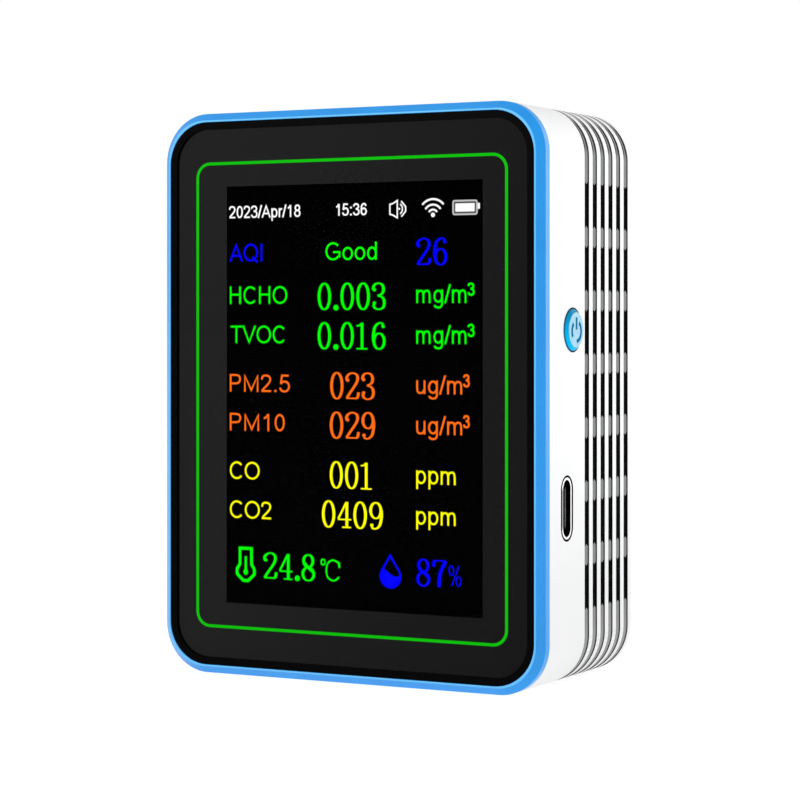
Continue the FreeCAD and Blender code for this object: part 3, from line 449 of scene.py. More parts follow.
def groove_masks(m, x, y, z):
    """1 on the grooves' walls and floors, on their floors alone, and on the slots' walls."""
    depth = depth_under_skin(m, x, z)
    behind_front = m.between(y, RIBBED_FRONT - 0.1, RIBBED_FRONT + 0.1)
    before_back = m.between(y, RIBBED_BACK + 0.1, RIBBED_BACK - 0.1)
    ribbed = m.times(behind_front, before_back)
    near_skin = m.times(ribbed, m.between(depth, -0.8, -0.7))
    edge = m.times(m.between(depth, -0.008, -0.02), near_skin)
    floor = m.times(m.between(depth, 0.015 - GROOVE_DEPTH, 0.005 - GROOVE_DEPTH), near_skin)
    slot_wall = m.times(m.between(depth, -GROOVE_DEPTH - 0.01, -GROOVE_DEPTH - 0.025), near_skin)
    return edge, floor, slot_wall


def body_white(m, z):
    """The case's white, with painted shade that makes it a little darker towards its foot."""
    lit_white = m.cloudy(0.08, 2, (0.86, 0.865, 0.87), (0.885, 0.885, 0.89), 0.35)
    painted_shade = m.cloudy(0.08, 2, (0.75, 0.755, 0.76), (0.77, 0.77, 0.775), 0.35)
    return m.blend(m.between(z, 2.0, 45.0), painted_shade, lit_white)


def groove_colours(m, y, z):
    """Painted shade of the grooves: grey floors and dark walls, with shadow lines along their edges, and
    paler along the top, where more light falls.
    """
    painted_groove_grey = m.cloudy(1.5, 3, (0.182, 0.184, 0.187), (0.215, 0.217, 0.22))
    grey = m.blend(m.between(z, 4.0, 13.0), (0.27, 0.27, 0.275), painted_groove_grey)
    with_shadow_lines = m.blend(groove_shadow_lines(m, y, z), grey, SHADOW_LINE_COLOUR)
    top = m.between(z, case_high.z - 2.9, case_high.z - 1.0)
    walls = m.blend(top, (0.03, 0.03, 0.03), (0.35, 0.35, 0.35))
    floors = m.blend(top, with_shadow_lines, (0.42, 0.42, 0.42))
    return walls, floors


def case_white():
    """White spark-textured moulding, with painted shade: grey groove floors, dark groove edges, and black
    walls in the slots and openings.
    """
    m = Recipe("case_white", roughness=0.5, specular=0.15)
    x, y, z = m.parts()
    edge, floor, slot_wall = groove_masks(m, x, y, z)
    walls, floors = groove_colours(m, y, z)
    # Painted shade: grey groove floors and dark groove walls stand in for the shade in the grooves.
    grooved = m.blend(floor, m.blend(edge, body_white(m, z), walls), floors)
    # Painted shade: the walls of the slots and of the openings for the port and button are black.
    beside = m.times(beside_slots(m, x, z), m.minus(edge, floor))
    slots = m.math("MAXIMUM", beside, slot_wall)
    port = opening_wall(m, x, y, z, (PORT_Y, PORT_Z), PORT_HALF_LENGTH, PORT_RADIUS)
    button = opening_wall(m, x, y, z, (BUTTON_Y, BUTTON_Z), 0, BUTTON_RADIUS)
    holes = m.math("MAXIMUM", slots, m.math("MAXIMUM", port, button))
    m.colour(m.blend(holes, grooved, OPENING_SHADE))
    m.rough(m.noise(6, 3), 0.42, 0.58)
    m.relief(m.cells(5.5), 0.006)
    m.relief(m.noise(18, 2), 0.002)
    return m.material


def trim_black():
    """Gloss black printed border."""
    m = Recipe("trim_black", roughness=0.3, specular=0.02)
    m.colour(m.cloudy(3, 3, (0.0006, 0.0006, 0.0007), (0.0012, 0.0012, 0.0014)))
    m.rough(m.noise(5, 3), 0.25, 0.4)
    m.relief(m.noise(6, 2), 0.001)
    return m.material


def lens_clear():
    """Tinted clear window: mostly see-through, with a faint gloss that grows at a slant."""
    m = Recipe("lens_clear", roughness=0.05, specular=0.15)
    m.colour(m.cloudy(0.4, 2, (0.0008, 0.0008, 0.001), (0.0014, 0.0014, 0.0016)))
    m.rough(m.noise(0.25, 5), 0.03, 0.09)
    fresnel = m.add("Fresnel")
    fresnel.inputs["IOR"].default_value = 1.49
    slant = m.times(fresnel.outputs["Fac"], 0.5)
    m.give(m.shader.inputs["Alpha"], m.math("ADD", slant, 0.01, clamp=True))
    m.material.surface_render_method = "BLENDED"
    return m.material


# Clear area of the film, and the black edge below it, in mm.
CLEAR_HALF_WIDTH = 21.7
CLEAR_LOW = CENTRE_Z - 31.4
FOOT_HEIGHT = 0.39


def film_dark():
    """Smoked film behind the window, with a black edge along the foot of its clear area.

    It glows with painted light that stands in for the light falling on it, brightest at the upper left.
    """
    m = Recipe("film_dark", roughness=0.75, specular=0.0)
    stipple = m.noise(20, 2)
    m.colour(m.ramp(stipple, [(0.3, (0.0004, 0.0004, 0.0004)), (0.7, (0.0007, 0.0007, 0.0007))]))
    x, _, z = m.parts()
    # Painted light: the film's glow grows towards the upper left.
    lean = m.math("ADD", m.math("DIVIDE", x, -2 * window_high.x), m.math("DIVIDE", z, 2 * window_high.z))
    cloud = m.math("ADD", lean, m.times(m.minus(stipple, 0.5), 0.15))
    painted_light = m.between(cloud, -0.5, 1.0)
    painted_glow = m.ramp(painted_light, [(0, (0.0095, 0.0095, 0.0095)), (1, (0.0175, 0.0175, 0.0175))])
    foot = m.between(z, CLEAR_LOW - FOOT_HEIGHT - 0.03, CLEAR_LOW - FOOT_HEIGHT + 0.03)
    below = m.times(foot, m.between(z, CENTRE_Z, CENTRE_Z - 1))
    beside = m.between(m.math("ABSOLUTE", x), CLEAR_HALF_WIDTH + 0.03, CLEAR_HALF_WIDTH - 0.03)
    m.light(m.blend(m.times(below, beside), painted_glow, (0, 0, 0)), 1)
    m.rough(m.noise(8, 2), 0.65, 0.85)
    m.relief(m.noise(25, 2), 0.001)
    return m.material


PIXEL = 0.153


def pixel_grid(m):
    """1 in the middle of each pixel of the display, 0 between them."""
    x, _, z = m.parts()
    return m.times(m.stripes(x, PIXEL), m.stripes(z, PIXEL))


def display_black():
    """Unlit glass of the display, with its fine pixel grid."""
    m = Recipe("display_black", roughness=0.4, specular=0.0)
    dots = [(0.1, (0.0002, 0.0002, 0.0002)), (0.9, (0.0007, 0.0007, 0.0008))]
    m.colour(m.ramp(pixel_grid(m), dots))
    m.rough(m.noise(2, 2), 0.25, 0.4)
    return m.material


def glow(name, colour, strength=1.1):
    """Lit part of the display: an even light, broken up by the fine pixel grid."""
    m = Recipe(name, roughness=0.6, specular=0.0)
    grid = pixel_grid(m)
    m.colour(m.ramp(grid, [(0, (0.001, 0.001, 0.001)), (1, (0.002, 0.002, 0.002))]))
    m.light(m.ramp(grid, [(0, shade(colour, 0.92)), (0.5, colour)]), strength)
    return m.material


def ink(name, colour, strength, roughness=0.4):
    """Printed ink with a cloudy tone, lifted by painted light: a glow that printed ink doesn't give."""
    m = Recipe(name, roughness=roughness, specular=0.02)
    m.colour(m.cloudy(6, 3, shade(colour, 0.40), shade(colour, 0.48)))
    # Painted light: the ink glows, so it looks brightly lit.
    m.light(m.cloudy(6, 3, shade(colour, 0.92), colour), strength)
    m.relief(m.noise(9, 2), 0.002)
    return m.material


def filter_black():
    """Black woven dust mesh, with lint caught in it."""
    m = Recipe("filter_black", roughness=0.85, specular=0.02)
    _, y, z = m.parts()
    weave = m.times(m.stripes(y, 0.22), m.stripes(z, 0.22))
    lint = m.between(m.noise(3.2, 4, roughness=0.7), 0.6, 0.72)
    thread = m.ramp(weave, [(0.1, (0.0005, 0.0005, 0.0005)), (0.9, (0.0045, 0.0045, 0.0045))])
    m.colour(m.blend(lint, thread, (0.06, 0.06, 0.06)))
    m.relief(weave, 0.05)
    return m.material


def button_blue():
    """Two-shot button: gloss cyan-blue bevel and pale face, with painted shade that darkens its foot and
    the bevel towards the top.
    """
    m = Recipe("button_blue", roughness=0.25, specular=0.05)
    x, _, z = m.parts()
    # Painted shade: the foot, where the button sits in its hole, and the upper bevel are darker.
    foot = m.between(x, case_high.x + 0.20, case_high.x)
    face = m.between(x, BUTTON_FACE - 0.10, BUTTON_FACE - 0.02)
    top = m.between(z, BUTTON_Z - 1.2, BUTTON_Z + 2.8)
    bright = m.cloudy(0.8, 2, (0.0, 0.46, 0.88), (0.0, 0.52, 0.98))
    bevel = m.blend(top, bright, (0.0, 0.27, 0.50))
    pale = m.cloudy(0.8, 2, (0.31, 0.59, 0.74), (0.37, 0.63, 0.79))
    m.colour(m.blend(foot, m.blend(face, bevel, pale), (0.0, 0.09, 0.17)))
    m.rough(m.noise(4, 3), 0.2, 0.35)
    m.relief(m.noise(5, 2), 0.002)
    return m.material


# ---- Materials of the inside ----


def moulded(name, dark, light, roughness=(0.4, 0.6), grain=7.0, depth=0.004):
    """Plain moulded plastic or ceramic: cloudy colour and a fine grain."""
    m = Recipe(name)
    m.colour(m.cloudy(0.7, 4, dark, light))
    m.rough(m.noise(grain / 2, 3), *roughness)
    m.relief(m.noise(grain, 3), depth)
    return m.material


def metal(name, dark, light, roughness=(0.2, 0.4), brush=(1, 1, 12)):
    """Rolled or drawn metal: streaks along one way, and dull spots."""
    m = Recipe(name, metallic=1.0)
    streaks = m.noise(1.2, 4, stretch=brush)
    m.colour(m.ramp(streaks, [(0.25, dark), (0.75, light)]))
    m.rough(m.noise(0.9, 5), *roughness)
    m.relief(streaks, 0.003)
    return m.material


def port_metal():
    """Plated steel shell of the charging port: bright rim, with painted shade down one side and painted
    shade that makes it nearly black inside.

    A pale, matt line is painted inside, along its straight sides.
    """
    m = Recipe("port_metal", metallic=1.0)
    streaks = m.noise(1.2, 4, stretch=(10, 1, 1))
    plated = m.ramp(streaks, [(0.25, (0.80, 0.80, 0.81)), (0.75, (0.92, 0.92, 0.93))])
    x, y, z = m.parts()
    # Painted shade: darker down the near straight side, and nearly black past the rim.
    straight = m.between(m.math("ABSOLUTE", m.minus(z, PORT_Z)), 3.3, 2.5)
    painted_shade = m.times(straight, m.between(y, PORT_Y - 1.1, PORT_Y - 1.3))
    rim = m.blend(painted_shade, plated, (0.30, 0.30, 0.305))
    painted_inner_shade = m.between(x, PORT_RIM - 0.01, PORT_RIM - 0.04)
    band = m.math("ABSOLUTE", m.minus(x, PORT_RIM - 0.85))
    pale_line = m.times(straight, m.between(band, 0.12, 0.07))
    m.colour(m.blend(pale_line, m.blend(painted_inner_shade, rim, (0.01, 0.01, 0.011)), (0.42, 0.42, 0.42)))
    m.give(m.shader.inputs["Metallic"], m.minus(1.0, pale_line))
    m.rough(m.noise(0.9, 5), 0.2, 0.35)
    m.relief(streaks, 0.003)
    return m.material


def board_green():
    """Solder mask over copper tracks, with tinned vias."""
    m = Recipe("board_green", roughness=0.35)
    x, _, z = m.parts()
    region = m.between(m.noise(0.12, 1), 0.49, 0.51)
    across = m.between(m.stripes(x, 0.9), 0.72, 0.8)
    upright = m.between(m.stripes(z, 0.9), 0.72, 0.8)
    first = m.times(across, region)
    second = m.times(upright, m.minus(1.0, region))
    tracks = m.math("ADD", first, second)
    mask = m.blend(tracks, (0.006, 0.060, 0.020), (0.015, 0.13, 0.045))
    vias = m.between(m.cells(0.35), 0.1, 0.07)
    m.colour(m.blend(vias, mask, (0.62, 0.60, 0.55)))
    m.rough(m.noise(3, 3), 0.28, 0.45)
    m.relief(tracks, 0.03)
    return m.material


def battery_foil():
    """Crinkled aluminium laminate."""
    m = Recipe("battery_foil", metallic=0.85)
    m.colour(m.cloudy(0.3, 4, (0.46, 0.47, 0.49), (0.62, 0.63, 0.65)))
    m.rough(m.noise(1.2, 4), 0.28, 0.45)
    m.relief(m.cells(0.4, "SMOOTH_F1"), 0.12, 0.5)
    m.relief(m.noise(3, 4), 0.02)
    return m.material


def flex_amber():
    """Polyimide film with copper traces showing through."""
    m = Recipe("flex_amber", roughness=0.3)
    x, _, _ = m.parts()
    traces = m.between(m.stripes(x, 0.5), 0.45, 0.6)
    m.colour(m.blend(traces, (0.42, 0.15, 0.02), (0.66, 0.30, 0.06)))
    m.rough(m.noise(2, 3), 0.22, 0.38)
    m.relief(traces, 0.015)
    return m.material


def diffuser_white():
    """Milky diffuser sheet with its dot pattern."""
    m = Recipe("backlight_white", roughness=0.6)
    dots = m.between(m.cells(1.6, randomness=0.0), 0.30, 0.22)
    m.colour(m.blend(dots, (0.74, 0.76, 0.80), (0.86, 0.87, 0.88)))
    m.relief(dots, 0.01)
    return m.material


# Materials made alike: dark and light colour, range of roughness, and grain or brushing.
MOULDED = {
    "tape_black": ((0.006, 0.006, 0.007), (0.016, 0.016, 0.018), (0.6, 0.8), 9, 0.01),
    "chip_black": ((0.006, 0.006, 0.007), (0.012, 0.012, 0.013), (0.55, 0.75), 12, 0.006),
    "connector_white": ((0.70, 0.69, 0.64), (0.80, 0.79, 0.74)),
    "sensor_grey": ((0.15, 0.155, 0.16), (0.20, 0.205, 0.21)),
    "wire_red": ((0.45, 0.010, 0.008), (0.58, 0.018, 0.014), (0.35, 0.5), 5, 0.006),
    "wire_black": ((0.010, 0.010, 0.011), (0.020, 0.020, 0.021), (0.35, 0.5), 5, 0.006),
}
METALS = {
    "sheet_steel": ((0.50, 0.51, 0.52), (0.66, 0.67, 0.68)),
    "sensor_metal": ((0.52, 0.51, 0.49), (0.70, 0.69, 0.66), (0.25, 0.4), (1, 8, 1)),
    "screw_steel": ((0.30, 0.30, 0.31), (0.46, 0.46, 0.47), (0.25, 0.45), (3, 1, 3)),
}
READOUTS = {
    "readout_white": (1, 1, 1),
    "readout_green": (0, 1, 0),
    "readout_blue": (0, 0, 1),
    "readout_orange": (1, 0.155, 0.007),
    "readout_yellow": (1, 1, 0),
}


def make_materials():
    """Every material slot of the record, by name."""
    made = {
        "frame_blue": frame_blue(),
        "case_white": case_white(),
        "trim_black": trim_black(),
        "lens_clear": lens_clear(),
        "film_dark": film_dark(),
        "display_black": display_black(),
        "filter_black": filter_black(),
        "button_blue": button_blue(),
        "board_green": board_green(),
        "battery_foil": battery_foil(),
        "flex_amber": flex_amber(),
        "backlight_white": diffuser_white(),
        "port_metal": port_metal(),
        "line_green": ink("line_green", (0.004, 0.54, 0.003), 0.5),
        "symbol_blue": ink("symbol_blue", (0.0, 0.18, 0.40), 0.40, 0.8),
    }
    for recipe, looks in ((moulded, MOULDED), (metal, METALS)):
        made.update({slot: recipe(slot, *look) for slot, look in looks.items()})
    made.update({slot: glow(slot, colour) for slot, colour in READOUTS.items()})
    return made


def dress_nodes(materials):
    """Gives every CAD node the material of its slot."""
    for row in frame["record"]["subparts"]:
        node = frame["nodes"][row["node"]]
        for place in node.material_slots:
            place.material = materials[row["material_slot"]]


# ---- Lettering of the display ----

# Reach of flat pieces behind and before their plane, and sizes of the lettering, in mm.
# Half of a dot's side is in widths of the pen.
LIT = (-0.002, 0.02)
CAPITAL = 2.68
LETTER_PEN = 0.30
SMALL_PEN = 0.25
DOT_HALF = 0.58


# Plain letters, drawn with a round pen. Capitals are 1 high, and places are the middle of the stroke.
# Each letter has its step to the next one, and any lines, smooth curves, rings and dots.
LETTERS = {
    "A": (0.93, {"lines": [[(0.05, 0), (0.465, 0.94), (0.88, 0)], [(0.20, 0.33), (0.73, 0.33)]]}),
    "C": (1.01, {"arcs": [((0.53, 0.5), 0.41, 0.45, 42, 318)]}),
    "G": (1.09, {
        "arcs": [((0.54, 0.5), 0.43, 0.45, 42, 322)],
        "lines": [[(0.55, 0.45), (0.95, 0.45), (0.95, 0.15)]],
    }),
    "H": (1.01, {"lines": [[(0.18, 0), (0.18, 1)], [(0.83, 0), (0.83, 1)], [(0.18, 0.53), (0.83, 0.53)]]}),
    "I": (0.39, {"lines": [[(0.195, 0), (0.195, 1)]]}),
    "M": (1.16, {"lines": [[(0.17, 0), (0.17, 0.90), (0.58, 0.10), (0.99, 0.90), (0.99, 0)]]}),
    "O": (1.09, {"rings": [((0.545, 0.5), 0.44, 0.45)]}),
    "P": (0.93, {"lines": [[(0.18, 0), (0.18, 1)]],
                 "curves": [[(0.18, 0.94), (0.50, 0.94), (0.70, 0.90), (0.79, 0.73), (0.72, 0.54),
                             (0.52, 0.47), (0.18, 0.47)]]}),
    "Q": (1.09, {"rings": [((0.545, 0.5), 0.44, 0.45)], "lines": [[(0.66, 0.26), (1.0, -0.06)]]}),
    "T": (0.85, {"lines": [[(0.03, 0.94), (0.82, 0.94)], [(0.425, 0), (0.425, 0.94)]]}),
    "V": (0.93, {"lines": [[(0.04, 1), (0.465, 0.06), (0.89, 1)]]}),
    "d": (0.78, {"rings": [((0.37, 0.365), 0.25, 0.315)], "lines": [[(0.62, 0), (0.62, 1)]]}),
    "g": (0.78, {"rings": [((0.37, 0.375), 0.25, 0.305)], "lines": [[(0.62, 0.74), (0.62, 0)]],
                 "curves": [[(0.62, 0.02), (0.60, -0.13), (0.50, -0.22), (0.35, -0.24), (0.20, -0.20),
                             (0.13, -0.10)]]}),
    "m": (1.16, {"lines": [[(0.15, 0), (0.15, 0.74)], [(0.56, 0), (0.56, 0.46)], [(0.97, 0), (0.97, 0.46)]],
                 "curves": [[(0.15, 0.46), (0.22, 0.62), (0.37, 0.68), (0.50, 0.63), (0.56, 0.46)],
                            [(0.56, 0.46), (0.63, 0.62), (0.78, 0.68), (0.91, 0.63), (0.97, 0.46)]]}),
    "o": (0.78, {"rings": [((0.39, 0.365), 0.28, 0.315)]}),
    "p": (0.78, {"rings": [((0.41, 0.365), 0.25, 0.315)], "lines": [[(0.16, -0.28), (0.16, 0.74)]]}),
    "r": (0.47, {"lines": [[(0.15, 0), (0.15, 0.74)]],
                 "curves": [[(0.15, 0.42), (0.20, 0.59), (0.30, 0.67), (0.44, 0.66)]]}),
    "u": (0.78, {"lines": [[(0.15, 0.74), (0.15, 0.27)], [(0.62, 0), (0.62, 0.74)]],
                 "curves": [[(0.15, 0.27), (0.20, 0.11), (0.34, 0.05), (0.50, 0.09), (0.62, 0.27)]]}),
    "/": (0.39, {"lines": [[(0.03, -0.02), (0.36, 1.02)]]}),
    ".": (0.39, {"dots": [(0.195, 0.075)]}),
    ":": (0.39, {"dots": [(0.195, 0.075), (0.195, 0.65)]}),
    "0": (0.78, {"rings": [((0.39, 0.5), 0.26, 0.435)]}),
    "1": (0.78, {"lines": [[(0.46, 0), (0.46, 0.97)]],
                 "curves": [[(0.18, 0.72), (0.32, 0.79), (0.44, 0.95)]]}),
    "2": (0.78, {"curves": [[(0.10, 0.70), (0.14, 0.85), (0.26, 0.93), (0.41, 0.93), (0.56, 0.88),
                             (0.64, 0.74), (0.60, 0.58), (0.44, 0.39), (0.25, 0.22), (0.11, 0.06)]],
                 "lines": [[(0.08, 0.06), (0.69, 0.06)]]}),
    "3": (0.78, {"curves": [[(0.10, 0.74), (0.17, 0.88), (0.35, 0.94), (0.54, 0.88), (0.61, 0.74),
                             (0.54, 0.60), (0.32, 0.53)],
                            [(0.32, 0.53), (0.56, 0.48), (0.66, 0.29), (0.58, 0.12), (0.37, 0.055),
                             (0.17, 0.12), (0.09, 0.27)]]}),
    "5": (0.78, {"lines": [[(0.64, 0.94), (0.22, 0.94), (0.145, 0.48)]],
                 "curves": [[(0.145, 0.47), (0.30, 0.60), (0.50, 0.59), (0.64, 0.46), (0.65, 0.25),
                             (0.53, 0.09), (0.35, 0.055), (0.18, 0.11), (0.09, 0.26)]]}),
    "6": (0.78, {"rings": [((0.395, 0.315), 0.26, 0.255)],
                 "curves": [[(0.63, 0.76), (0.55, 0.90), (0.40, 0.94), (0.24, 0.86), (0.15, 0.66),
                             (0.135, 0.34)]]}),
    "8": (0.78, {"rings": [((0.39, 0.735), 0.22, 0.205), ((0.39, 0.29), 0.26, 0.235)]}),
}


def letter_lines(text):
    """(middle line, closed) of every stroke of a word, and its dots, in heights of a capital."""
    lines, dots, start = [], [], 0.0
    for character in text:
        step, shape = LETTERS[character]
        shift = Vector((start, 0))
        for line in shape.get("lines", []):
            lines.append(([Vector(p) + shift for p in line], False))
        for line in shape.get("curves", []):
            lines.append(([p + shift for p in curved(line, 4)], False))
        for centre, wide, tall in shape.get("rings", []):
            lines.append(([p + shift for p in ring(centre, wide, tall / wide, 24)], True))
        for centre, wide, tall, first, last in shape.get("arcs", []):
            lines.append(([p + shift for p in arc(centre, wide, first, last, 20, tall / wide)], False))
        dots += [Vector(p) + shift for p in shape.get("dots", [])]
        start += step
    return lines, dots


def add_label(bm, text, left, right, base, capital=CAPITAL, pen_width=LETTER_PEN):
    """Fits a word between two edges, with its capitals that high above the base line."""
    lines, dots = letter_lines(text)
    reach = [p.x for line, _ in lines for p in line]
    across = (right - left - pen_width) / (max(reach) - min(reach))
    first = min(reach)

    def place(point):
        return Vector((left + pen_width / 2 + (point.x - first) * across, base + point.y * capital))

    for line, closed in lines:
        add_stroke(bm, on_screen, [place(p) for p in line], pen_width, LIT, closed)
    half = pen_width * DOT_HALF
    for dot in dots:
        middle = place(dot)
        outline = rounded(middle.x - half, middle.x + half, middle.y - half, middle.y + half, half * 0.4, 3)
        add_plate(bm, on_screen, outline, LIT)


def label(name, slot, words, materials):
    """A piece of one or more words: text, left, right, base, and where they differ capital and pen."""
    bm = bmesh.new()
    for word in words:
        add_label(bm, *word)
    finish_piece(name, mesh_from(name, bm), materials[slot])


# Roman figures, drawn with a broad pen. All sizes are in heights of a figure.
PEN_THICK = 0.098
PEN_THIN = 0.053
PEN_FINE = 0.07
PEN_BOLD = 0.12
BALL_RADIUS = 0.062
FIGURE_HEIGHT = 4.12
FIGURE_WIDTH = 0.49
FIGURE_MIDDLE = (0.245, 0.5)
FIGURE_SPREAD = 1.135
FIGURE_STEP = 0.634
POINT_STEP = 0.289
POINT_MIDDLE = (0.10, 0.095)
POINT_RADIUS = 0.092


def pen(along):
    """Stroke width of a broad pen that is thick going up and down."""
    return PEN_THIN + (PEN_THICK - PEN_THIN) * abs(along.y) ** 1.5


FIGURES = {
    "0": {"rings": [((0.245, 0.5), 0.19, 0.468)]},
    "1": {
        "curves": [[(0.02, 0.86), (0.13, 0.875), (0.215, 0.95)]],
        "lines": [[(0.215, 0.97), (0.215, 0.04)], [(0.02, 0.035), (0.41, 0.035)]],
    },
    "2": {
        "curves": [
            [(0.05, 0.70), (0.04, 0.80), (0.10, 0.90), (0.235, 0.965), (0.385, 0.91), (0.43, 0.78),
             (0.40, 0.64), (0.31, 0.48), (0.17, 0.27), (0.045, 0.07)],
            [(0.40, 0.06), (0.44, 0.13), (0.46, 0.27)],
        ],
        "lines": [[(0.02, 0.055), (0.43, 0.055)]],
        "balls": [(0.075, 0.705)],
    },
    "3": {
        "curves": [
            [(0.05, 0.74), (0.045, 0.82), (0.10, 0.92), (0.22, 0.965), (0.35, 0.91), (0.40, 0.76),
             (0.355, 0.60), (0.20, 0.52)],
            [(0.20, 0.52), (0.37, 0.45), (0.43, 0.27), (0.375, 0.09), (0.22, 0.03), (0.09, 0.09),
             (0.05, 0.20)],
        ],
        "balls": [(0.08, 0.735), (0.08, 0.255)],
    },
    "4": {
        "lines": [
            [(0.335, 0.96), (0.335, 0.05)],
            [(0.02, 0.325), (0.49, 0.325)],
            [(0.17, 0.045), (0.48, 0.045)],
        ],
        "fine": [[(0.32, 0.95), (0.03, 0.345)]],
    },
    "7": {
        "lines": [[(0.03, 0.945), (0.47, 0.945)], [(0.055, 0.95), (0.03, 0.73)]],
        "bold": [[(0.45, 0.93), (0.34, 0.70), (0.255, 0.45), (0.22, 0.02)]],
    },
    "8": {
        "rings": [((0.235, 0.745), 0.165, 0.222), ((0.235, 0.272), 0.195, 0.24)],
        "bold": [[(0.10, 0.66), (0.17, 0.56), (0.31, 0.46), (0.385, 0.37)]],
    },
    "9": {
        "rings": [((0.235, 0.69), 0.18, 0.28)],
        "curves": [[(0.425, 0.72), (0.435, 0.48), (0.37, 0.16), (0.21, 0.035), (0.085, 0.09)]],
        "balls": [(0.095, 0.16)],
    },
}


def turned(point):
    return (2 * FIGURE_MIDDLE[0] - point[0], 2 * FIGURE_MIDDLE[1] - point[1])


def upside_down(figure):
    """A figure turned half round."""
    return {
        "rings": [(turned(centre), wide, tall) for centre, wide, tall in figure["rings"]],
        "curves": [[turned(p) for p in line] for line in figure["curves"]],
        "balls": [turned(p) for p in figure["balls"]],
    }


FIGURES["6"] = upside_down(FIGURES["9"])


def add_figure(bm, plane, figure):
    """Draws one Roman figure. plane takes places in figure heights."""
    for centre, wide, tall in figure.get("rings", []):
        add_stroke(bm, plane, ring(centre, wide, tall / wide), pen, LIT, closed=True)
    for line in figure.get("curves", []):
        add_stroke(bm, plane, curved(line), pen, LIT)
    for line in figure.get("lines", []):
        add_stroke(bm, plane, line, pen, LIT)
    for line in figure.get("fine", []):
        add_stroke(bm, plane, line, PEN_FINE, LIT)
    for line in figure.get("bold", []):
        add_stroke(bm, plane, curved(line), PEN_BOLD, LIT)
    for place in figure.get("balls", []):
        add_plate(bm, plane, ring(place, BALL_RADIUS, steps=16), LIT)


def figure_places(text):
    """(character, left edge) in figure heights, and the whole width."""
    places, left = [], 0.0
    for character in text:
        places.append((character, left))
        left += POINT_STEP if character == "." else FIGURE_STEP
    return places, left - FIGURE_STEP + FIGURE_WIDTH * FIGURE_SPREAD


def figures(name, slot, text, left, right, middle, materials):
    """A piece of Roman figures between two edges."""
    bm = bmesh.new()
    places, width = figure_places(text)
    across = (right - left) / width
    low = middle - FIGURE_HEIGHT / 2
    for character, start in places:
        origin = left + start * across

        def plane(u, v, out, origin=origin):
            return on_screen(origin + u * FIGURE_SPREAD * across, low + v * FIGURE_HEIGHT, out)

        if character == ".":
            add_plate(bm, plane, ring(POINT_MIDDLE, POINT_RADIUS, FIGURE_SPREAD, 24), LIT)
        else:
            add_figure(bm, plane, FIGURES[character])
    finish_piece(name, mesh_from(name, bm), materials[slot])


# Edges and base lines of the display's rows, in mm.
NAME_LEFT = -21.2
UNIT_LEFT = 10.8
ROWS = (
    # name, slot, (name, right edge, base line), (value, left, right, middle), unit
    ("hcho", "readout_green", ("HCHO", -11.06, 56.05), ("0.003", -5.83, 5.80, 57.13), "mg/m"),
    ("tvoc", "readout_green", ("TVOC", -11.5, 50.11), ("0.016", -5.83, 5.75, 51.29), "mg/m"),
    ("pm2_5", "readout_orange", ("PM2.5", -10.62, 42.76), ("023", -3.68, 3.98, 43.88), "ug/m"),
    ("pm10", "readout_orange", ("PM10", -11.5, 36.86), ("029", -3.75, 4.0, 38.02), "ug/m"),
    ("co", "readout_yellow", ("CO", -15.9, 29.50), ("001", -3.75, 3.75, 30.64), "ppm"),
    ("co2", "readout_yellow", ("CO2", -13.75, 23.58), ("0409", -5.1, 5.3, 24.79), "ppm"),
)
UNITS = {
    # unit: (right edge, base line above the name's, edges of a raised 3)
    "mg/m": (19.0, 0.04, (19.15, 20.33)),
    "ug/m": (18.3, 0.10, (18.42, 19.55)),
    "ppm": (17.25, 0.22, None),
}
SUPERSCRIPT_RISE = 1.07
SUPERSCRIPT_HEIGHT = 1.85


def unit_words(unit, base):
    right, rise, raised = UNITS[unit]
    words = [(unit, UNIT_LEFT, right, base + rise)]
    if raised:
        words.append(("3", *raised, base + rise + SUPERSCRIPT_RISE, SUPERSCRIPT_HEIGHT))
    return words


def measured_rows(materials):
    """Name, value and unit of each measured quantity."""
    for name, slot, (text, right, base), (value, low, high, middle), unit in ROWS:
        label(f"{name}_name", slot, [(text, NAME_LEFT, right, base)], materials)
        figures(f"{name}_value", slot, value, low, high, middle, materials)
        label(f"{name}_unit", slot, unit_words(unit, base), materials)


def heading(materials):
    """Date, time and the air quality index."""
    date = ("2023/Apr/18", -21.38, -8.75, 69.07, 1.86, SMALL_PEN)
    clock = ("15:36", -2.72, 2.58, 69.10, 1.80, SMALL_PEN)
    label("date", "readout_white", [date], materials)
    label("clock", "readout_white", [clock], materials)
    label("index_name", "readout_blue", [("AQI", -21.3, -15.44, 62.48)], materials)
    label("index_grade", "readout_green", [("Good", -4.46, 4.24, 62.50)], materials)
    figures("index_value", "readout_blue", "26", 10.83, 15.93, 63.60, materials)


# ---- Small pictures on the display ----


def picture(name, slot, strokes=(), plates=(), materials=None, plane=on_screen, body=ROOT, material=None):
    """A piece made of strokes (line, width, closed) and plates (outlines)."""
    bm = bmesh.new()
    for line, width, closed in strokes:
        add_stroke(bm, plane, line, width, LIT, closed)
    for outline in plates:
        add_plate(bm, plane, outline, LIT)
    finish_piece(name, mesh_from(name, bm), material or materials[slot], body)


def speaker(materials):
    body = [(6.44, 70.62), (6.86, 70.68), (7.66, 71.14), (7.66, 68.62), (6.86, 69.06), (6.44, 69.14)]
    near_wave = [(8.15, 70.63), (8.50, 70.22), (8.50, 69.58), (8.15, 69.16)]
    far_wave = [(8.30, 71.04), (9.05, 70.22), (9.05, 69.55), (8.35, 68.76)]
    strokes = [(body, 0.22, True), (near_wave, 0.2, False), (far_wave, 0.22, False)]
    picture("speaker_symbol", "readout_white", strokes, [ring((7.98, 69.92), 0.16)], materials)


def wireless(materials):
    centre = (13.55, 68.92)
    waves = ((0.77, 58), (1.50, 55), (2.30, 49))
    strokes = [(arc(centre, radius, 90 - half, 90 + half), 0.3, False) for radius, half in waves]
    picture("wireless_symbol", "readout_white", strokes, [ring(centre, 0.33)], materials)


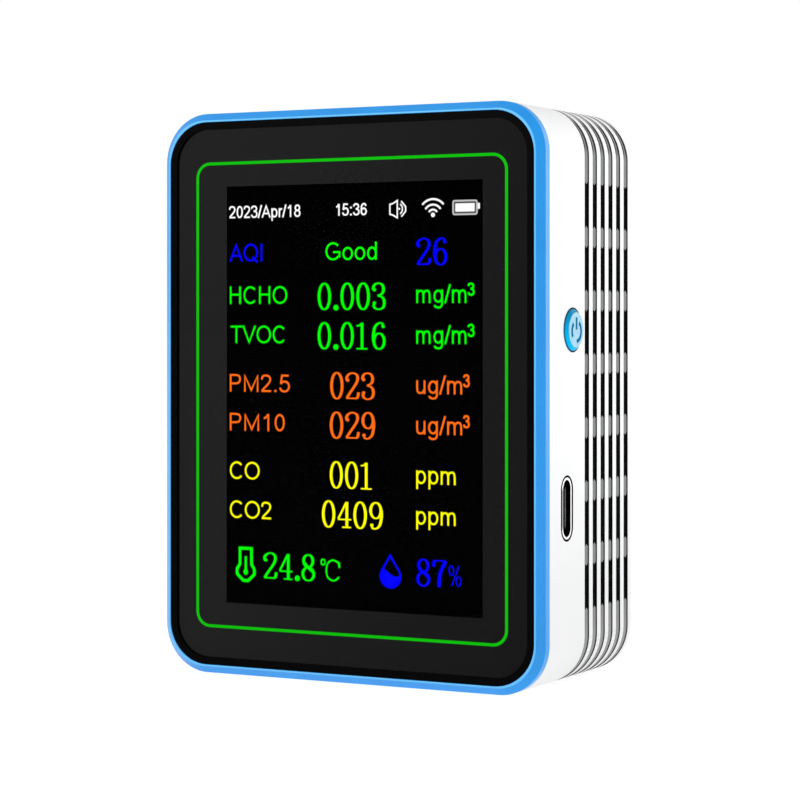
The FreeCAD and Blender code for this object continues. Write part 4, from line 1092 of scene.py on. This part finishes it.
def charge_level(materials):
    left, right, low, high = 16.84, 20.68, 68.92, 70.88
    wall = 0.24
    ring_line = rounded(left, right, low, high, 0.25)
    gap_line = rounded(left + wall, right - wall, low + wall, high - wall, 0.12)
    shell = glow("readout_soft_white", (0.55, 0.55, 0.56))
    gap = glow("readout_dim_white", (0.09, 0.09, 0.095))
    picture("charge_outline", "readout_white", [(ring_line, wall, True)], material=shell)
    picture("charge_gap", "readout_white", [(gap_line, wall, True)], material=gap)
    bars = [rounded(17.2, 20.32, 69.3, 70.5, 0.1), rounded(20.82, 21.16, 69.64, 70.52, 0.12)]
    picture("charge_level", "readout_white", plates=bars, materials=materials)


def thermometer(materials):
    middle, wall = -18.37, 0.47
    half = [(1.02, 19.05), (1.02, 16.66), (1.53, 15.92), (1.53, 15.16), (0.42, 14.18)]
    right_side = [(middle + across, up) for across, up in half]
    left_side = [(middle - across, up) for across, up in reversed(half)]
    stem = [(middle, 17.86), (middle, 15.5)]
    strokes = [(right_side + left_side, wall, True), (stem, 0.4, False)]
    bulb = ring((middle, 15.5), 0.40, 1.15)
    picture("thermometer_symbol", "readout_green", strokes, [bulb], materials)


def water_drop(materials):
    centre, radius, wall = (6.53, 16.02), 1.66, 0.3
    tip = (6.48, 19.05)
    outline = [tip] + arc(centre, radius, 155, 385, 24)
    wave = curved([(5.03, 17.05), (5.62, 16.98), (6.28, 16.55), (6.95, 16.14), (7.55, 16.02), (8.15, 16.2)])
    full = wave + arc(centre, radius, 4, -214, 24)
    picture("drop_symbol", "readout_blue", [(outline, wall, True)], [full], materials)


def degree_sign(materials):
    width = 0.25
    letter = curved([(-2.14, 17.48), (-2.55, 17.74), (-3.25, 17.94), (-4.02, 17.48), (-4.32, 16.40),
                     (-4.05, 15.36), (-3.22, 14.90), (-2.62, 15.06), (-2.16, 15.50)])
    flick = [(-2.16, 17.70), (-2.08, 16.85)]
    strokes = [(ring((-4.87, 17.58), 0.34, 1.2), 0.22, True), (letter, width, False), (flick, 0.32, False)]
    picture("degree_celsius", "readout_green", strokes, (), materials)


def percent_sign(materials):
    left, right, low, high = 16.05, 18.22, 15.02, 18.14

    def at(u, v):
        return Vector((left + (right - left) * u, low + (high - low) * v))

    width = 0.17
    strokes = [
        (ring(at(0.23, 0.74), 0.38, 1.75), width, True),
        (ring(at(0.77, 0.25), 0.38, 1.75), width, True),
        ([at(0.80, 0.97), at(0.24, 0.02)], width, False),
    ]
    picture("percent", "readout_blue", strokes, (), materials)


def weather_row(materials):
    """Temperature and humidity along the foot of the display."""
    thermometer(materials)
    figures("temperature_value", "readout_green", "24.8", -15.22, -6.18, 16.62, materials)
    degree_sign(materials)
    water_drop(materials)
    figures("humidity_value", "readout_blue", "87", 10.85, 15.80, 16.82, materials)
    percent_sign(materials)


# ---- Printed and fitted details ----


def window_line(materials):
    """Green line printed on the window, round the display."""
    left, right, low, high = -26.05, 26.5, 7.02, 77.53
    width, radius = 0.44, 2.4
    edge = width / 2
    line = rounded(left + edge, right - edge, low + edge, high - edge, radius - edge, 10)
    picture("window_line", "line_green", [(line, width, True)], (), materials, on_window)


def power_symbol(materials):
    """Ring in two arcs and a bar, printed on the button."""
    width, radius, middle, stretch = 0.55, 1.58, (0, -0.2), 0.92
    left_arc = arc(middle, radius, 131, 213, stretch=stretch)
    right_arc = arc(middle, radius, 57, -88, stretch=stretch)
    bar = [(0, 0.04), (0, 1.83)]
    strokes = [(left_arc, width, False), (right_arc, width, False), (bar, width, False)]
    picture("power_symbol", "symbol_blue", strokes, (), materials, on_button, "button")


def port_contacts():
    """Row of flat contacts on each side of the port's tongue."""
    gold = metal("contact_gold", (0.75, 0.50, 0.16), (0.90, 0.64, 0.26), (0.2, 0.35), (12, 1, 1))
    count, pitch, width, thickness = 12, 0.5, 0.28, 0.03
    tip_gap, length = 0.25, 2.2
    middle = (tongue_low.z + tongue_high.z) / 2
    right = tongue_high.x - tip_gap
    for side, face, sign in (("front", tongue_low.y, -1), ("rear", tongue_high.y, 1)):
        bm = bmesh.new()

        def plane(u, v, out, face=face, sign=sign):
            return Vector((u, face + sign * out, v)) * MM

        for i in range(count):
            up = middle + (i - (count - 1) / 2) * pitch
            outline = rounded(right - length, right, up - width / 2, up + width / 2, 0.06, 3)
            add_plate(bm, plane, outline, (-0.01, thickness))
        name = f"port_contacts_{side}"
        finish_piece(name, mesh_from(name, bm), gold)


# ---- Camera, floor and light ----


def make_camera():
    """Level camera to the right of the front."""
    data = bpy.data.cameras.new("camera")
    data.lens = 112.39
    data.sensor_width = 36
    data.shift_y = -0.101
    data.clip_start = 0.01
    data.clip_end = 20
    camera = bpy.data.objects.new("camera", data)
    camera.location = Vector((180.50, -336.98, 53.75)) * MM
    camera.rotation_euler = (math.radians(90), 0, math.radians(28.12))
    bpy.context.scene.collection.objects.link(camera)
    bpy.context.scene.camera = camera


def make_floor():
    """A wide pale sheet, a little brighter than its own light makes it."""
    m = Recipe("floor_pale", roughness=0.9, specular=0.0)
    m.colour(m.cloudy(0.02, 2, (0.28, 0.28, 0.28), (0.32, 0.32, 0.32)))
    m.light((1, 1, 1, 1), 0.83)
    half = 6.0
    bm = bmesh.new()
    corners = [(-half, -half), (half, -half), (half, half), (-half, half)]
    bm.faces.new([bm.verts.new((x, y, cad_low.z)) for x, y in corners])
    mesh = bpy.data.meshes.new("floor")
    bm.to_mesh(mesh)
    bm.free()
    floor = bpy.data.objects.new("floor", mesh)
    mesh.materials.append(m.material)
    bpy.context.scene.collection.objects.link(floor)


def make_world():
    """White where the camera sees it, and a dim even light for the object."""
    world = bpy.data.worlds.new("studio")
    world.use_nodes = True
    tree = world.node_tree
    tree.nodes.clear()
    seen = tree.nodes.new("ShaderNodeBackground")
    seen.inputs["Color"].default_value = (1, 1, 1, 1)
    dim = tree.nodes.new("ShaderNodeBackground")
    dim.inputs["Color"].default_value = (0.60, 0.60, 0.60, 1)
    path = tree.nodes.new("ShaderNodeLightPath")
    mix = tree.nodes.new("ShaderNodeMixShader")
    output = tree.nodes.new("ShaderNodeOutputWorld")
    tree.links.new(path.outputs["Is Camera Ray"], mix.inputs[0])
    tree.links.new(dim.outputs[0], mix.inputs[1])
    tree.links.new(seen.outputs[0], mix.inputs[2])
    tree.links.new(mix.outputs[0], output.inputs["Surface"])
    bpy.context.scene.world = world


def make_light(name, direction, distance, size, power):
    """A square soft light aimed at the middle of the case."""
    data = bpy.data.lights.new(name, "AREA")
    data.size = size
    data.energy = power
    light = bpy.data.objects.new(name, data)
    aim = Vector((0, 0, CENTRE_Z * MM))
    way = Vector(direction).normalized()
    light.location = aim + way * distance
    light.rotation_euler = way.to_track_quat("Z", "Y").to_euler()
    light.visible_camera = False
    bpy.context.scene.collection.objects.link(light)


def make_studio():
    make_camera()
    make_floor()
    make_world()
    make_light("key", (-0.30, -0.80, 0.45), distance=0.6, size=0.4, power=1.6)
    make_light("side", (0.75, 0.66, 0.25), distance=0.8, size=1.0, power=5.1)
    bpy.context.scene.view_settings.view_transform = "Standard"


# ---- The whole scene ----


make_studio()
finishes = make_materials()
dress_nodes(finishes)
heading(finishes)
measured_rows(finishes)
speaker(finishes)
wireless(finishes)
charge_level(finishes)
weather_row(finishes)
window_line(finishes)
power_symbol(finishes)
port_contacts()
